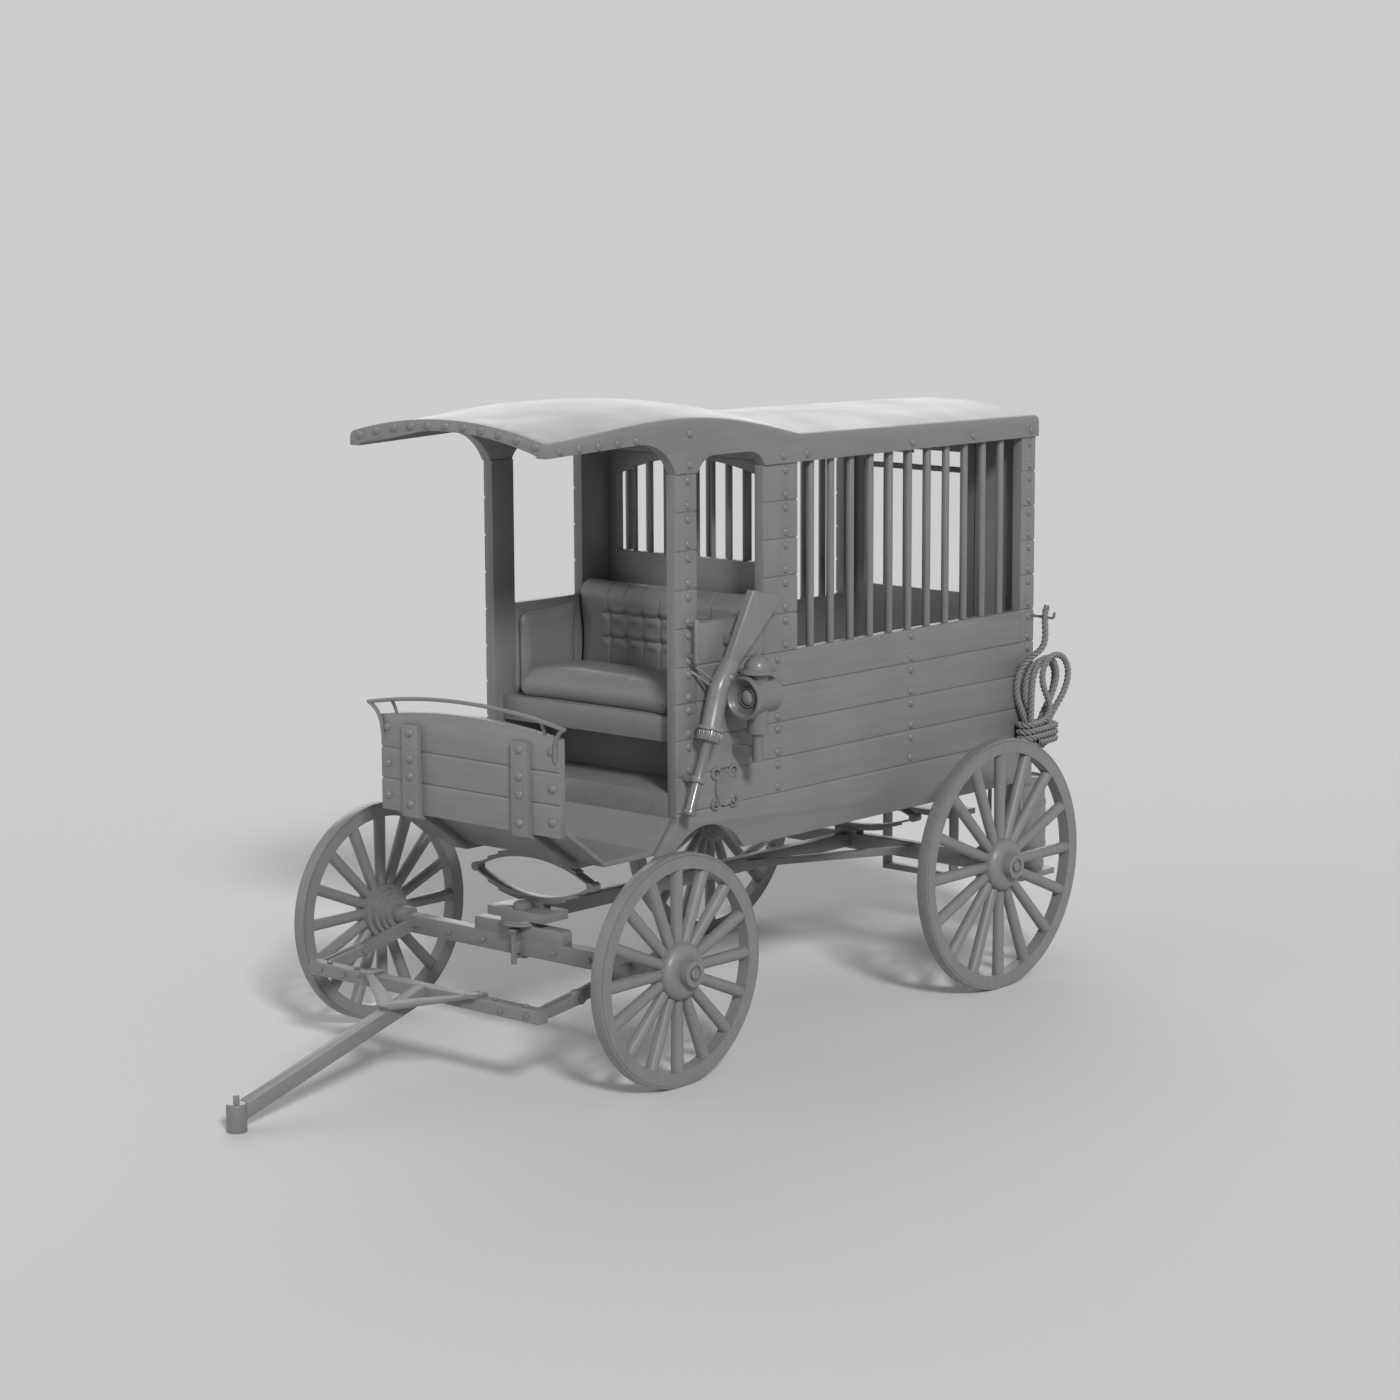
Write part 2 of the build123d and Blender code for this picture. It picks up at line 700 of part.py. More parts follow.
save(futchells.part, "futchells")

# Crossbar with the two hinge forks
with BuildPart() as crossbar:
    half = CROSSBAR_SIZE / 2
    bar_back = CROSSBAR_Y + half
    station_box(
        -CROSSBAR_HALF, CROSSBAR_HALF, CROSSBAR_Y - half, bar_back, CROSSBAR_Z - half, CROSSBAR_Z + half
    )
    fillet(crossbar.edges().filter_by(Axis.X), radius=CROSSBAR_ROUND)
    for side in (-1, 1):
        for cheek in (-1, 1):
            cheek_x = side * HINGE_X + cheek * (FUTCHELL_W / 2 + CHEEK_GAP + CHEEK_T / 2)
            with BuildSketch(side_plane(cheek_x)):
                with BuildLine():
                    Polyline(
                        (CROSSBAR_Y, CROSSBAR_Z - half + CHEEK_ROOT),
                        (CROSSBAR_Y, CROSSBAR_Z + half - CHEEK_ROOT),
                        (HINGE_Y, HINGE_Z + CHEEK_EYE_R - EYE_NECK),
                        (HINGE_Y, HINGE_Z - CHEEK_EYE_R + EYE_NECK),
                        close=True,
                    )
                make_face()
                with Locations((HINGE_Y, HINGE_Z)):
                    Circle(CHEEK_EYE_R)
            extrude(amount=CHEEK_T / 2, both=True)
            with BuildSketch(side_plane(cheek_x)):
                with Locations((HINGE_Y, HINGE_Z)):
                    Circle(HINGE_PIN_R + FIT_GAP)
            extrude(amount=CHEEK_T / 2, both=True, mode=Mode.SUBTRACT)
save(crossbar.part, "crossbar")

# Hinge pins through forks and futchell eyes
with BuildPart() as hinge_pins:
    fork_half = FUTCHELL_W / 2 + CHEEK_GAP + CHEEK_T
    for side in (-1, 1):
        with BuildSketch(side_plane(side * HINGE_X)):
            with Locations((HINGE_Y, HINGE_Z)):
                Circle(HINGE_PIN_R)
        extrude(amount=fork_half, both=True)
        for end in (-1, 1):
            with BuildSketch(side_plane(side * HINGE_X + end * fork_half)):
                with Locations((HINGE_Y, HINGE_Z)):
                    RegularPolygon(HINGE_NUT_R, 6)
            extrude(amount=end * HINGE_PIN_R)
save(hinge_pins.part, "hinge_pins")

# Pole, sloping from the crossbar down to the tip
with BuildPart() as pole:
    drop = POLE_W / math.cos(POLE_SLOPE)
    with BuildSketch(side_plane(0)):
        with BuildLine():
            Polyline(
                (POLE_BACK, POLE_BACK_TOP),
                (TIP_Y, POLE_TIP_TOP),
                (TIP_Y, POLE_TIP_TOP - drop),
                (POLE_BACK, POLE_BACK_TOP - drop),
                close=True,
            )
        make_face()
    extrude(amount=POLE_W / 2, both=True)
    with BuildSketch(Plane.XY):
        with Locations((0, TIP_Y)):
            Circle(TIP_R)
    extrude(amount=TIP_H + TIP_PIN_H, mode=Mode.SUBTRACT)
save(pole.part, "pole")

# Pole tip: the standing boss with its vertical pin
with BuildPart() as pole_tip:
    with BuildSketch(Plane.XY):
        with Locations((0, TIP_Y)):
            Circle(TIP_R)
    extrude(amount=TIP_H)
    fillet(pole_tip.edges().group_by(Axis.Z)[-1], radius=TIP_ROUND)
    with BuildSketch(Plane.XY.offset(TIP_H)):
        with Locations((0, TIP_Y)):
            Circle(TIP_PIN_R)
    extrude(amount=TIP_PIN_H)
save(pole_tip.part, "pole_tip")

# Forked pole brace: a chevron of flat iron on the pole, with paddles on the crossbar
with BuildPart() as pole_brace:
    brace_plane = Plane(
        origin=(0, POLE_BACK, POLE_BACK_TOP),
        x_dir=(1, 0, 0),
        z_dir=(0, -math.sin(POLE_SLOPE), math.cos(POLE_SLOPE)),
    )
    with BuildSketch(brace_plane):
        with BuildLine():
            Polyline(
                (-BRACE_SPREAD - BRACE_ARM / 2, 0),
                (-BRACE_SPREAD + BRACE_ARM / 2, 0),
                (0, -BRACE_LENGTH + BRACE_ARM),
                (BRACE_SPREAD - BRACE_ARM / 2, 0),
                (BRACE_SPREAD + BRACE_ARM / 2, 0),
                (POLE_W / 2, -BRACE_LENGTH - BRACE_ARM / 2),
                (-POLE_W / 2, -BRACE_LENGTH - BRACE_ARM / 2),
                close=True,
            )
        make_face()
    extrude(amount=BRACE_IRON_T)
    for side in (-1, 1):
        with BuildSketch(Plane.XY.offset(POLE_BACK_TOP)):
            with Locations((side * BRACE_SPREAD, CROSSBAR_Y - BRACE_IRON_T)):
                Rectangle(BRACE_PADDLE, CROSSBAR_SIZE + 2 * BRACE_IRON_T)
        extrude(amount=BRACE_IRON_T)
save(pole_brace.part, "pole_brace")

# Transom with the upper turning plate
with BuildPart() as transom:
    station_box(-TRANSOM_HALF, TRANSOM_HALF, TRANSOM_FRONT, TRANSOM_REAR, TRANSOM_LOW, TRANSOM_TOP)
    with BuildSketch(Plane.XY.offset(PLATE_SEAT)):
        with Locations((0, FRONT_AXLE_Y)):
            Circle(PLATE_R)
    extrude(amount=PLATE_T)
    with BuildSketch(Plane.XY.offset(PLATE_SEAT)):
        with Locations((0, FRONT_AXLE_Y)):
            Circle(KING_R + FIT_GAP)
    extrude(amount=TRANSOM_TOP - PLATE_SEAT, mode=Mode.SUBTRACT)
save(transom.part, "transom")

# King pin with its mushroom head and the nut below the axle
with BuildPart() as king_pin:
    nut_top = FRONT_BEAM_LOW - SEAT_GAP
    head_top = TRANSOM_TOP + KING_HEAD_H
    dome_top = head_top + KING_DOME_H
    with BuildSketch(Plane(origin=(0, FRONT_AXLE_Y, 0), x_dir=(1, 0, 0), z_dir=(0, -1, 0))):
        with BuildLine():
            Polyline(
                (0, dome_top),
                (0, nut_top - KING_NUT_H),
                (KING_NUT_R, nut_top - KING_NUT_H),
                (KING_NUT_R, nut_top),
                (KING_R, nut_top),
                (KING_R, TRANSOM_TOP),
                (KING_HEAD_R, TRANSOM_TOP),
                (KING_HEAD_R, head_top),
            )
            cap_x, cap_z = cap_mid(KING_HEAD_R, KING_DOME_H)
            ThreePointArc((KING_HEAD_R, head_top), (cap_x, head_top + cap_z), (0, dome_top))
        make_face()
    revolve(axis=Axis((0, FRONT_AXLE_Y, 0), (0, 0, 1)))
save(king_pin.part, "king_pin")


def leaf_band(plane, radius, half_angle, centre_z, up):
    """Outline of one curved leaf, concentric about a point on the centreline."""
    corners = []
    for r in (radius, radius + LEAF_T):
        for angle in (-half_angle, 0, half_angle):
            corners.append((r * math.sin(angle), centre_z + up * r * math.cos(angle)))
    with BuildSketch(plane) as band:
        with BuildLine():
            ThreePointArc(corners[0], corners[1], corners[2])
            Line(corners[2], corners[5])
            ThreePointArc(corners[5], corners[4], corners[3])
            Line(corners[3], corners[0])
        make_face()
    return band.sketch


def elliptic_spring(y, half_span, seat_low, seat_top):
    """One transverse spring: two facing stacks of leaves joined at their eyes, with both centre pads."""
    stack = LEAVES * LEAF_T
    mid_z = (seat_low + seat_top) / 2
    rise = (seat_top - seat_low) / 2 - SPRING_PAD_H - stack
    bend = (half_span ** 2 + rise ** 2) / (2 * rise)
    swing = math.asin(half_span / bend)
    with BuildPart() as spring:
        for up in (1, -1):
            centre_z = mid_z + up * (rise - bend)
            for k in range(LEAVES):
                leaf = leaf_band(cross_plane(y), bend + k * LEAF_T, swing * LEAF_STEP ** k, centre_z, up)
                extrude(leaf, amount=LEAF_W / 2, both=True)
            pad_start = mid_z + up * (rise + stack - SPRING_PAD_SINK)
            pad_end = mid_z + up * (rise + stack + SPRING_PAD_H)
            pad_deep = LEAF_W / 2 + SPRING_PAD_SIDE
            station_box(-SPRING_PAD_HALF, SPRING_PAD_HALF, y - pad_deep, y + pad_deep, pad_start, pad_end)
        for side in (-1, 1):
            with BuildSketch(cross_plane(y)):
                with Locations((side * half_span, mid_z)):
                    Circle(EYE_R)
            extrude(amount=LEAF_W / 2, both=True)
    return spring.part


# Springs: the front one between transom and foot-well, the rear one between axle block and bearer
save(elliptic_spring(FRONT_SPRING_Y, FRONT_SPRING_HALF, TRANSOM_TOP, PAN_LOW), "front_spring")
save(elliptic_spring(REAR_AXLE_Y, REAR_SPRING_HALF, REAR_BEAM_TOP, BEARER_LOW), "rear_spring")

# Reach: the pole that ties the transom to the rear axle
REACH_REAR = REAR_AXLE_Y - BEAM_DEEP / 2
with BuildPart() as reach:
    with BuildSketch(side_plane(0)):
        with BuildLine():
            Polyline(
                (TRANSOM_REAR, TRANSOM_TOP),
                (REACH_REAR, REAR_BEAM_TOP),
                (REACH_REAR, REAR_BEAM_TOP - REACH_H),
                (TRANSOM_REAR, TRANSOM_TOP - REACH_H),
                close=True,
            )
        make_face()
    extrude(amount=REACH_W / 2, both=True)
save(reach.part, "reach")

# Side braces from the reach out to the rear axle
with BuildPart() as reach_braces:
    for side in (-1, 1):
        with BuildSketch(Plane.XY.offset(REAR_BEAM_TOP - BRACE_DROP)):
            with BuildLine():
                Polyline(
                    (side * REACH_W / 2, REACH_REAR - BRACE_RUN),
                    (side * REACH_W / 2, REACH_REAR - BRACE_RUN + BRACE_ROOT),
                    (side * (BRACE_END_X - BRACE_W), REACH_REAR),
                    (side * (BRACE_END_X + BRACE_W), REACH_REAR),
                    close=True,
                )
            make_face()
        extrude(amount=BRACE_H)
save(reach_braces.part, "reach_braces")

# Underframe: two sills with the rear bearer
with BuildPart() as underframe:
    for side in (-1, 1):
        beam_in = side * (SILL_BEAM_X - SILL_BEAM_W / 2)
        beam_out = side * (SILL_BEAM_X + SILL_BEAM_W / 2)
        beam_front = CAB_FRONT + SILL_BEAM_START
        station_box(beam_in, beam_out, beam_front, BODY_REAR - REAR_FRAME_T, SILL_BEAM_LOW, FLOOR_LOW)
    bearer_half = SILL_BEAM_X + SILL_BEAM_W / 2
    bearer_front = REAR_AXLE_Y - BEARER_D / 2
    station_box(-bearer_half, bearer_half, bearer_front, bearer_front + BEARER_D, BEARER_LOW, SILL_BEAM_LOW)
save(underframe.part, "underframe")

# Floor of the cage, with the raised floor of the cab that also carries the partition
with BuildPart() as floor:
    station_box(-INSIDE, INSIDE, CAB_FRONT, BODY_REAR - REAR_FRAME_T, FLOOR_LOW, FLOOR_TOP)
    station_box(-INSIDE, INSIDE, CAB_FRONT, PARTITION_Y + PARTITION_T, FLOOR_TOP, CAB_FLOOR_TOP)
save(floor.part, "floor")

# Plank walls with the wheel arch below the cab
for name, side in (("left_wall", 1), ("right_wall", -1)):
    with BuildPart() as wall:
        with BuildSketch(side_plane(side * BODY_HALF)):
            with BuildLine():
                post_rear = CAB_FRONT + FRONT_POST_D
                wall_rear = BODY_REAR - REAR_POST_D
                ThreePointArc((ARCH_FRONT, PAN_LOW), (ARCH_MID, ARCH_TOP), (ARCH_REAR, SKIRT_Z))
                Polyline(
                    (ARCH_REAR, SKIRT_Z),
                    (wall_rear, SKIRT_Z),
                    (wall_rear, SILL_Z),
                    (CAB_POST_Y, SILL_Z),
                    (CAB_POST_Y, CAB_SILL_Z),
                    (post_rear, CAB_SILL_Z),
                    (post_rear, POST_FOOT),
                    (CAB_FRONT, POST_FOOT),
                    (CAB_FRONT, RISER_TOP - PAN_DROP),
                    (PAN_REAR, PAN_LOW),
                    (ARCH_FRONT, PAN_LOW),
                )
            make_face()
        extrude(amount=-side * WALL_T)
        for seam in PLANK_SEAMS:
            extrude(side_groove(side, PAN_REAR, seam), amount=PAN_REAR - BODY_REAR, mode=Mode.SUBTRACT)
    save(wall.part, name)

# Posts: name, front station, depth, foot level, seam levels
POSTS = (
    ("front_posts", CAB_FRONT, FRONT_POST_D, POST_FOOT, PLANK_SEAMS + POST_SEAMS),
    ("cab_posts", CAB_POST_Y, CAB_POST_D, SILL_Z, POST_SEAMS),
    ("rear_posts", BODY_REAR - REAR_POST_D, REAR_POST_D, SKIRT_Z, PLANK_SEAMS + POST_SEAMS),
)
for name, front_y, depth, foot, seams in POSTS:
    with BuildPart() as posts:
        for side in (-1, 1):
            station_box(side * INSIDE, side * BODY_HALF, front_y, front_y + depth, foot, POST_TOP)
            for seam in seams:
                extrude(side_groove(side, front_y, seam), amount=-depth, mode=Mode.SUBTRACT)
    save(posts.part, name)

# Partition behind the seat, with its arched window
with BuildPart() as partition:
    partition_rear = PARTITION_Y + PARTITION_T
    station_box(-INSIDE, INSIDE, PARTITION_Y, partition_rear, CAB_FLOOR_TOP, POST_TOP)
    with BuildSketch(cross_plane(PARTITION_Y)):
        with BuildLine():
            Polyline(
                (WINDOW_HALF, WINDOW_SIDE_TOP),
                (WINDOW_HALF, WINDOW_LOW),
                (-WINDOW_HALF, WINDOW_LOW),
                (-WINDOW_HALF, WINDOW_SIDE_TOP),
            )
            ThreePointArc((-WINDOW_HALF, WINDOW_SIDE_TOP), (0, WINDOW_CROWN), (WINDOW_HALF, WINDOW_SIDE_TOP))
        make_face()
    extrude(amount=-PARTITION_T, mode=Mode.SUBTRACT)
save(partition.part, "partition")

# Bars of the partition window, cut to the arch
with BuildPart() as partition_bars:
    bar_pitch = 2 * WINDOW_HALF / (PARTITION_BARS + 1)
    for k in range(PARTITION_BARS):
        with BuildSketch(Plane.XY.offset(WINDOW_LOW)):
            with Locations((-WINDOW_HALF + (k + 1) * bar_pitch, PARTITION_Y + PARTITION_T / 2)):
                Circle(PARTITION_BAR_R)
        extrude(amount=WINDOW_CROWN - WINDOW_LOW)
    add(partition.part, mode=Mode.SUBTRACT)
save(partition_bars.part, "partition_bars")

# Cage bars on both sides
with BuildPart() as cage_bars:
    for side in (-1, 1):
        for k in range(CAGE_BARS):
            with BuildSketch(Plane.XY.offset(SILL_Z)):
                with Locations((side * (BODY_HALF - WALL_T / 2), CAGE_FIRST + k * CAGE_PITCH)):
                    Circle(BAR_R)
            extrude(amount=POST_TOP - SILL_Z)
save(cage_bars.part, "cage_bars")


def roof_section(row, side_wall, skin, corner):
    """One cross section of the roof: flat below, upright sides, rounded shoulders and a crowned top."""
    station, overhang, shoulder, crown = row
    x = BODY_HALF + overhang - side_wall
    z = POST_TOP + shoulder - skin
    top = POST_TOP + crown - skin
    with BuildSketch(cross_plane(FRONT_AXLE_Y + station)) as section:
        with BuildLine():
            Polyline((-x, z), (-x, POST_TOP), (x, POST_TOP), (x, z))
            ThreePointArc((x, z), (0, top), (-x, z))
        make_face()
        fillet(section.vertices().group_by(Axis.Y)[-1], radius=corner)
    return section.sketch


# Hollow of the roof, with the rib over the partition and the rear wall left standing
with BuildPart() as roof_hollow:
    for table in (ROOF_CAB, ROOF_CAGE):
        loft(sections=[roof_section(row, ROOF_SIDE, ROOF_SKIN, SHOULDER_R / 2) for row in table])
    for front_y, depth in ((PARTITION_Y, PARTITION_T), (BODY_REAR - REAR_FRAME_T, 2 * REAR_FRAME_T)):
        with Locations((0, front_y + depth / 2, POST_TOP)):
            Box(2 * BODY_HALF, depth, POST_TOP, mode=Mode.SUBTRACT)

# Roof: a crowned shell over cab and cage, open below, with the canopy and window arches cut in its sides
with BuildPart() as roof:
    for table in (ROOF_CAB, ROOF_CAGE):
        loft(sections=[roof_section(row, 0, 0, SHOULDER_R) for row in table])
    add(roof_hollow.part, mode=Mode.SUBTRACT)
    roof_reach = BODY_HALF + ROOF_CAB[0][1] + ROOF_SIDE
    with BuildSketch(side_plane(0)):
        with BuildLine():
            lip_y = FRONT_AXLE_Y + ROOF_CAB[0][0]
            arch_y = CAB_FRONT - CANOPY_ARCH_RUN
            arch_fall = (CANOPY_ARCH_TOP - POST_TOP) * ARCH_BULGE
            arch_mid = (CAB_FRONT - CANOPY_ARCH_RUN * ARCH_BULGE, CANOPY_ARCH_TOP - arch_fall)
            Polyline(
                (CAB_FRONT, POST_TOP),
                (lip_y - ROOF_SKIN, POST_TOP),
                (lip_y - ROOF_SKIN, CANOPY_LIP_Z),
                (arch_y, CANOPY_ARCH_TOP),
            )
            ThreePointArc((arch_y, CANOPY_ARCH_TOP), arch_mid, (CAB_FRONT, POST_TOP))
        make_face()
    extrude(amount=roof_reach, both=True, mode=Mode.SUBTRACT)
    with BuildSketch(side_plane(0)):
        with BuildLine():
            sash_front = CAB_FRONT + FRONT_POST_D
            corner_fall = (CAB_ARCH_TOP - POST_TOP) * ARCH_BULGE
            front_mid = (sash_front + CAB_ARCH_RUN * ARCH_BULGE, CAB_ARCH_TOP - corner_fall)
            rear_mid = (CAB_POST_Y - CAB_ARCH_RUN * ARCH_BULGE, CAB_ARCH_TOP - corner_fall)
            Line((CAB_POST_Y, POST_TOP), (sash_front, POST_TOP))
            ThreePointArc((sash_front, POST_TOP), front_mid, (sash_front + CAB_ARCH_RUN, CAB_ARCH_TOP))
            Line((sash_front + CAB_ARCH_RUN, CAB_ARCH_TOP), (CAB_POST_Y - CAB_ARCH_RUN, CAB_ARCH_TOP))
            ThreePointArc((CAB_POST_Y - CAB_ARCH_RUN, CAB_ARCH_TOP), rear_mid, (CAB_POST_Y, POST_TOP))
        make_face()
    extrude(amount=roof_reach, both=True, mode=Mode.SUBTRACT)
save(roof.part, "roof")

# Foot-well: one bent pan with the toe board and the riser up to the cab floor
with BuildPart() as footwell:
    with BuildSketch(side_plane(0)):
        with BuildLine():
            upper = ((TOE_TOP_Y, TOE_TOP_Z), (PAN_FRONT, PAN_Z), (PAN_REAR, PAN_Z), (CAB_FRONT, RISER_TOP))
            lower = [(y, z - PAN_DROP) for y, z in reversed(upper)]
            Polyline(*upper, *lower, close=True)
        make_face()
    extrude(amount=FOOT_HALF, both=True)
save(footwell.part, "footwell")

# Dash of three planks with a crowned top
with BuildPart() as dash:
    with BuildSketch(cross_plane(TOE_TOP_Y)):
        with BuildLine():
            Polyline(
                (FOOT_HALF, DASH_SIDE_TOP),
                (FOOT_HALF, DASH_LOW),
                (-FOOT_HALF, DASH_LOW),
                (-FOOT_HALF, DASH_SIDE_TOP),
            )
            ThreePointArc(
                (-FOOT_HALF, DASH_SIDE_TOP), (0, DASH_SIDE_TOP + DASH_CROWN), (FOOT_HALF, DASH_SIDE_TOP)
            )
        make_face()
    extrude(amount=DASH_T)
    for seam in DASH_SEAMS:
        groove = cross_groove(TOE_TOP_Y - DASH_T, -1, seam)
        extrude(groove, amount=FOOT_HALF, both=True, mode=Mode.SUBTRACT)
save(dash.part, "dash")

# Iron straps down the front of the dash and under the toe board
with BuildPart() as dash_straps:
    toe_slope = (TOE_TOP_Z - PAN_Z) / (PAN_FRONT - TOE_TOP_Y)
    toe_start = PAN_FRONT - (DASH_LOW - PAN_LOW) / toe_slope
    dash_front = TOE_TOP_Y - DASH_T
    for side in (-1, 1):
        with BuildSketch(side_plane(side * STRAP_X)):
            with BuildLine():
                Polyline(
                    (dash_front, STRAP_TOP),
                    (dash_front, DASH_LOW),
                    (toe_start, DASH_LOW),
                    (PAN_FRONT, PAN_LOW),
                    (PAN_FRONT + STRAP_TAIL, PAN_LOW),
                    (PAN_FRONT + STRAP_TAIL, PAN_LOW - STRAP_T),
                    (PAN_FRONT - STRAP_T / 3, PAN_LOW - STRAP_T),
                    (toe_start - STRAP_T / 2, DASH_LOW - STRAP_SLACK),
                    (dash_front - STRAP_T, DASH_LOW - STRAP_T / 3),
                    (dash_front - STRAP_T, STRAP_TOP),
                    close=True,
                )
            make_face()
        extrude(amount=STRAP_W / 2, both=True)
save(dash_straps.part, "dash_straps")

# Bowed rail above the dash on two posts
with BuildPart() as dash_rail:
    rail_y = TOE_TOP_Y - DASH_T / 2
    with BuildLine(cross_plane(rail_y)) as rail_path:
        ThreePointArc((-RAIL_HALF, RAIL_END_Z), (0, RAIL_END_Z + RAIL_BOW), (RAIL_HALF, RAIL_END_Z))
    with BuildSketch(Plane(origin=rail_path.line @ 0, z_dir=rail_path.line % 0)):
        Circle(RAIL_R)
    sweep(path=rail_path.line)
    for side in (-1, 1):
        with BuildSketch(Plane.XY.offset(DASH_SIDE_TOP)):
            with Locations((side * RAIL_POST_X, rail_y)):
                Circle(RAIL_POST_R)
        extrude(amount=RAIL_POST_TOP - DASH_SIDE_TOP)
    add(dash.part, mode=Mode.SUBTRACT)
save(dash_rail.part, "dash_rail")

# Seat box with an overhanging top
with BuildPart() as seat_base:
    with BuildSketch(side_plane(0)):
        with BuildLine():
            Polyline(
                (SEAT_FRONT, SEAT_TOP),
                (SEAT_FRONT, SEAT_LOW),
                (SEAT_FRONT + SEAT_OVERHANG, SEAT_LOW),
                (SEAT_FRONT + SEAT_OVERHANG, CAB_FLOOR_TOP),
                (PARTITION_Y, CAB_FLOOR_TOP),
                (PARTITION_Y, SEAT_TOP),
                close=True,
            )
        make_face()
    extrude(amount=INSIDE, both=True)
save(seat_base.part, "seat_base")

# Seat cushion with a rounded front edge
with BuildPart() as seat_cushion:
    cushion_half = INSIDE - SOFT_GAP
    cushion_back = BACK_Y - BACK_T - BACK_LEAN - CUSHION_GAP
    station_box(-cushion_half, cushion_half, SEAT_FRONT, cushion_back, SEAT_TOP, SEAT_TOP + CUSHION_H)
    top_edges = seat_cushion.edges().group_by(Axis.Z)[-1]
    fillet(top_edges, radius=CUSHION_ROUND)
save(seat_cushion.part, "seat_cushion")

# Seat back with a rolled top
with BuildPart() as seat_back:
    back_rear = BACK_Y
    roll_z = BACK_TOP - BACK_ROLL_R
    with BuildSketch(side_plane(0)):
        with BuildLine():
            Polyline(
                (back_rear, roll_z),
                (back_rear, SEAT_TOP),
                (back_rear - BACK_T - BACK_LEAN, SEAT_TOP),
                (back_rear - BACK_T, roll_z),
                close=True,
            )
        make_face()
        with Locations((back_rear - BACK_ROLL_R, roll_z)):
            Circle(BACK_ROLL_R)
    extrude(amount=INSIDE - SOFT_GAP, both=True)
save(seat_back.part, "seat_back")

# Upholstered panels inside the cab walls, above the seat
with BuildPart() as arm_panels:
    panel_front = CAB_FRONT + FRONT_POST_D + SOFT_GAP
    panel_rear = BACK_Y - 2 * BACK_ROLL_R - ARM_PANEL_GAP
    panel_low = SEAT_TOP + CUSHION_H + SOFT_GAP
    for side in (-1, 1):
        panel_in = side * (INSIDE - ARM_PANEL_T)
        station_box(panel_in, side * INSIDE, panel_front, panel_rear, panel_low, ARM_PANEL_TOP)
    fillet(arm_panels.edges().filter_by(Axis.X).group_by(Axis.Z)[-1], radius=ARM_PANEL_ROUND)
save(arm_panels.part, "arm_panels")

# Rear frame: the sill board below the door and the fixed panel beside it
with BuildPart() as rear_frame:
    frame_front = BODY_REAR - REAR_FRAME_T
    with BuildSketch(cross_plane(frame_front)):
        with BuildLine():
            Polyline(
                (-INSIDE, SKIRT_Z),
                (INSIDE, SKIRT_Z),
                (INSIDE, POST_TOP),
                (DOOR_LEFT + DOOR_EDGE_GAP, POST_TOP),
                (DOOR_LEFT + DOOR_EDGE_GAP, DOOR_LOW - DOOR_EDGE_GAP),
                (-INSIDE, DOOR_LOW - DOOR_EDGE_GAP),
                close=True,
            )
        make_face()
    extrude(amount=-REAR_FRAME_T)
save(rear_frame.part, "rear_frame")

# Rear door: planked below, open above for its bars
with BuildPart() as rear_door:
    with BuildSketch(cross_plane(BODY_REAR)):
        with BuildLine():
            Polyline(
                (DOOR_RIGHT, DOOR_LOW),
                (DOOR_LEFT, DOOR_LOW),
                (DOOR_LEFT, DOOR_TOP),
                (DOOR_RIGHT, DOOR_TOP),
                close=True,
            )
        make_face()
        with BuildLine():
            Polyline(
                (DOOR_RIGHT + DOOR_STILE, DOOR_RAIL_Z),
                (DOOR_LEFT - DOOR_STILE, DOOR_RAIL_Z),
                (DOOR_LEFT - DOOR_STILE, DOOR_TOP - DOOR_HEAD),
                (DOOR_RIGHT + DOOR_STILE, DOOR_TOP - DOOR_HEAD),
                close=True,
            )
        make_face(mode=Mode.SUBTRACT)
    extrude(amount=REAR_FRAME_T)
    for seam in PLANK_SEAMS[1:-1]:
        extrude(cross_groove(BODY_REAR, 1, seam), amount=BODY_HALF, both=True, mode=Mode.SUBTRACT)
save(rear_door.part, "rear_door")

# Bars of the rear door with their cross rail
with BuildPart() as rear_door_bars:
    pane_left = DOOR_LEFT - DOOR_STILE
    pane_right = DOOR_RIGHT + DOOR_STILE
    pane_mid_y = BODY_REAR - REAR_FRAME_T / 2
    door_pitch = (pane_left - pane_right) / (DOOR_BARS + 1)
    for k in range(DOOR_BARS):
        with BuildSketch(Plane.XY.offset(DOOR_RAIL_Z)):
            with Locations((pane_right + (k + 1) * door_pitch, pane_mid_y)):
                Circle(DOOR_BAR_R)
        extrude(amount=DOOR_TOP - DOOR_HEAD - DOOR_RAIL_Z)
    with BuildSketch(side_plane(pane_right)):
        with Locations((pane_mid_y, DOOR_CROSS_Z)):
            Circle(DOOR_BAR_R)
    extrude(amount=pane_left - pane_right)
save(rear_door_bars.part, "rear_door_bars")

# Strap hinges and the hasp on the outer face of the door
with BuildPart() as door_irons:
    hinge_x = DOOR_RIGHT - DOOR_EDGE_GAP
    hinge_y = BODY_REAR + DOOR_HINGE_OUT
    for level in DOOR_HINGES:
        with BuildSketch(Plane.XY.offset(level - DOOR_KNUCKLE_H / 2)):
            with Locations((hinge_x, hinge_y)):
                Circle(DOOR_KNUCKLE_R)
        extrude(amount=DOOR_KNUCKLE_H)
        station_box(
            hinge_x,
            hinge_x + DOOR_STRAP_LEN,
            BODY_REAR,
            BODY_REAR + DOOR_STRAP_T,
            level - DOOR_STRAP_H / 2,
            level + DOOR_STRAP_H / 2,
        )
    hasp_low = DOOR_LOW + DOOR_HASP_UP
    hasp_rear = BODY_REAR + DOOR_STRAP_T
    station_box(DOOR_LEFT - DOOR_HASP_LEN, DOOR_LEFT, BODY_REAR, hasp_rear, hasp_low, hasp_low + DOOR_HASP_H)
save(door_irons.part, "door_irons")

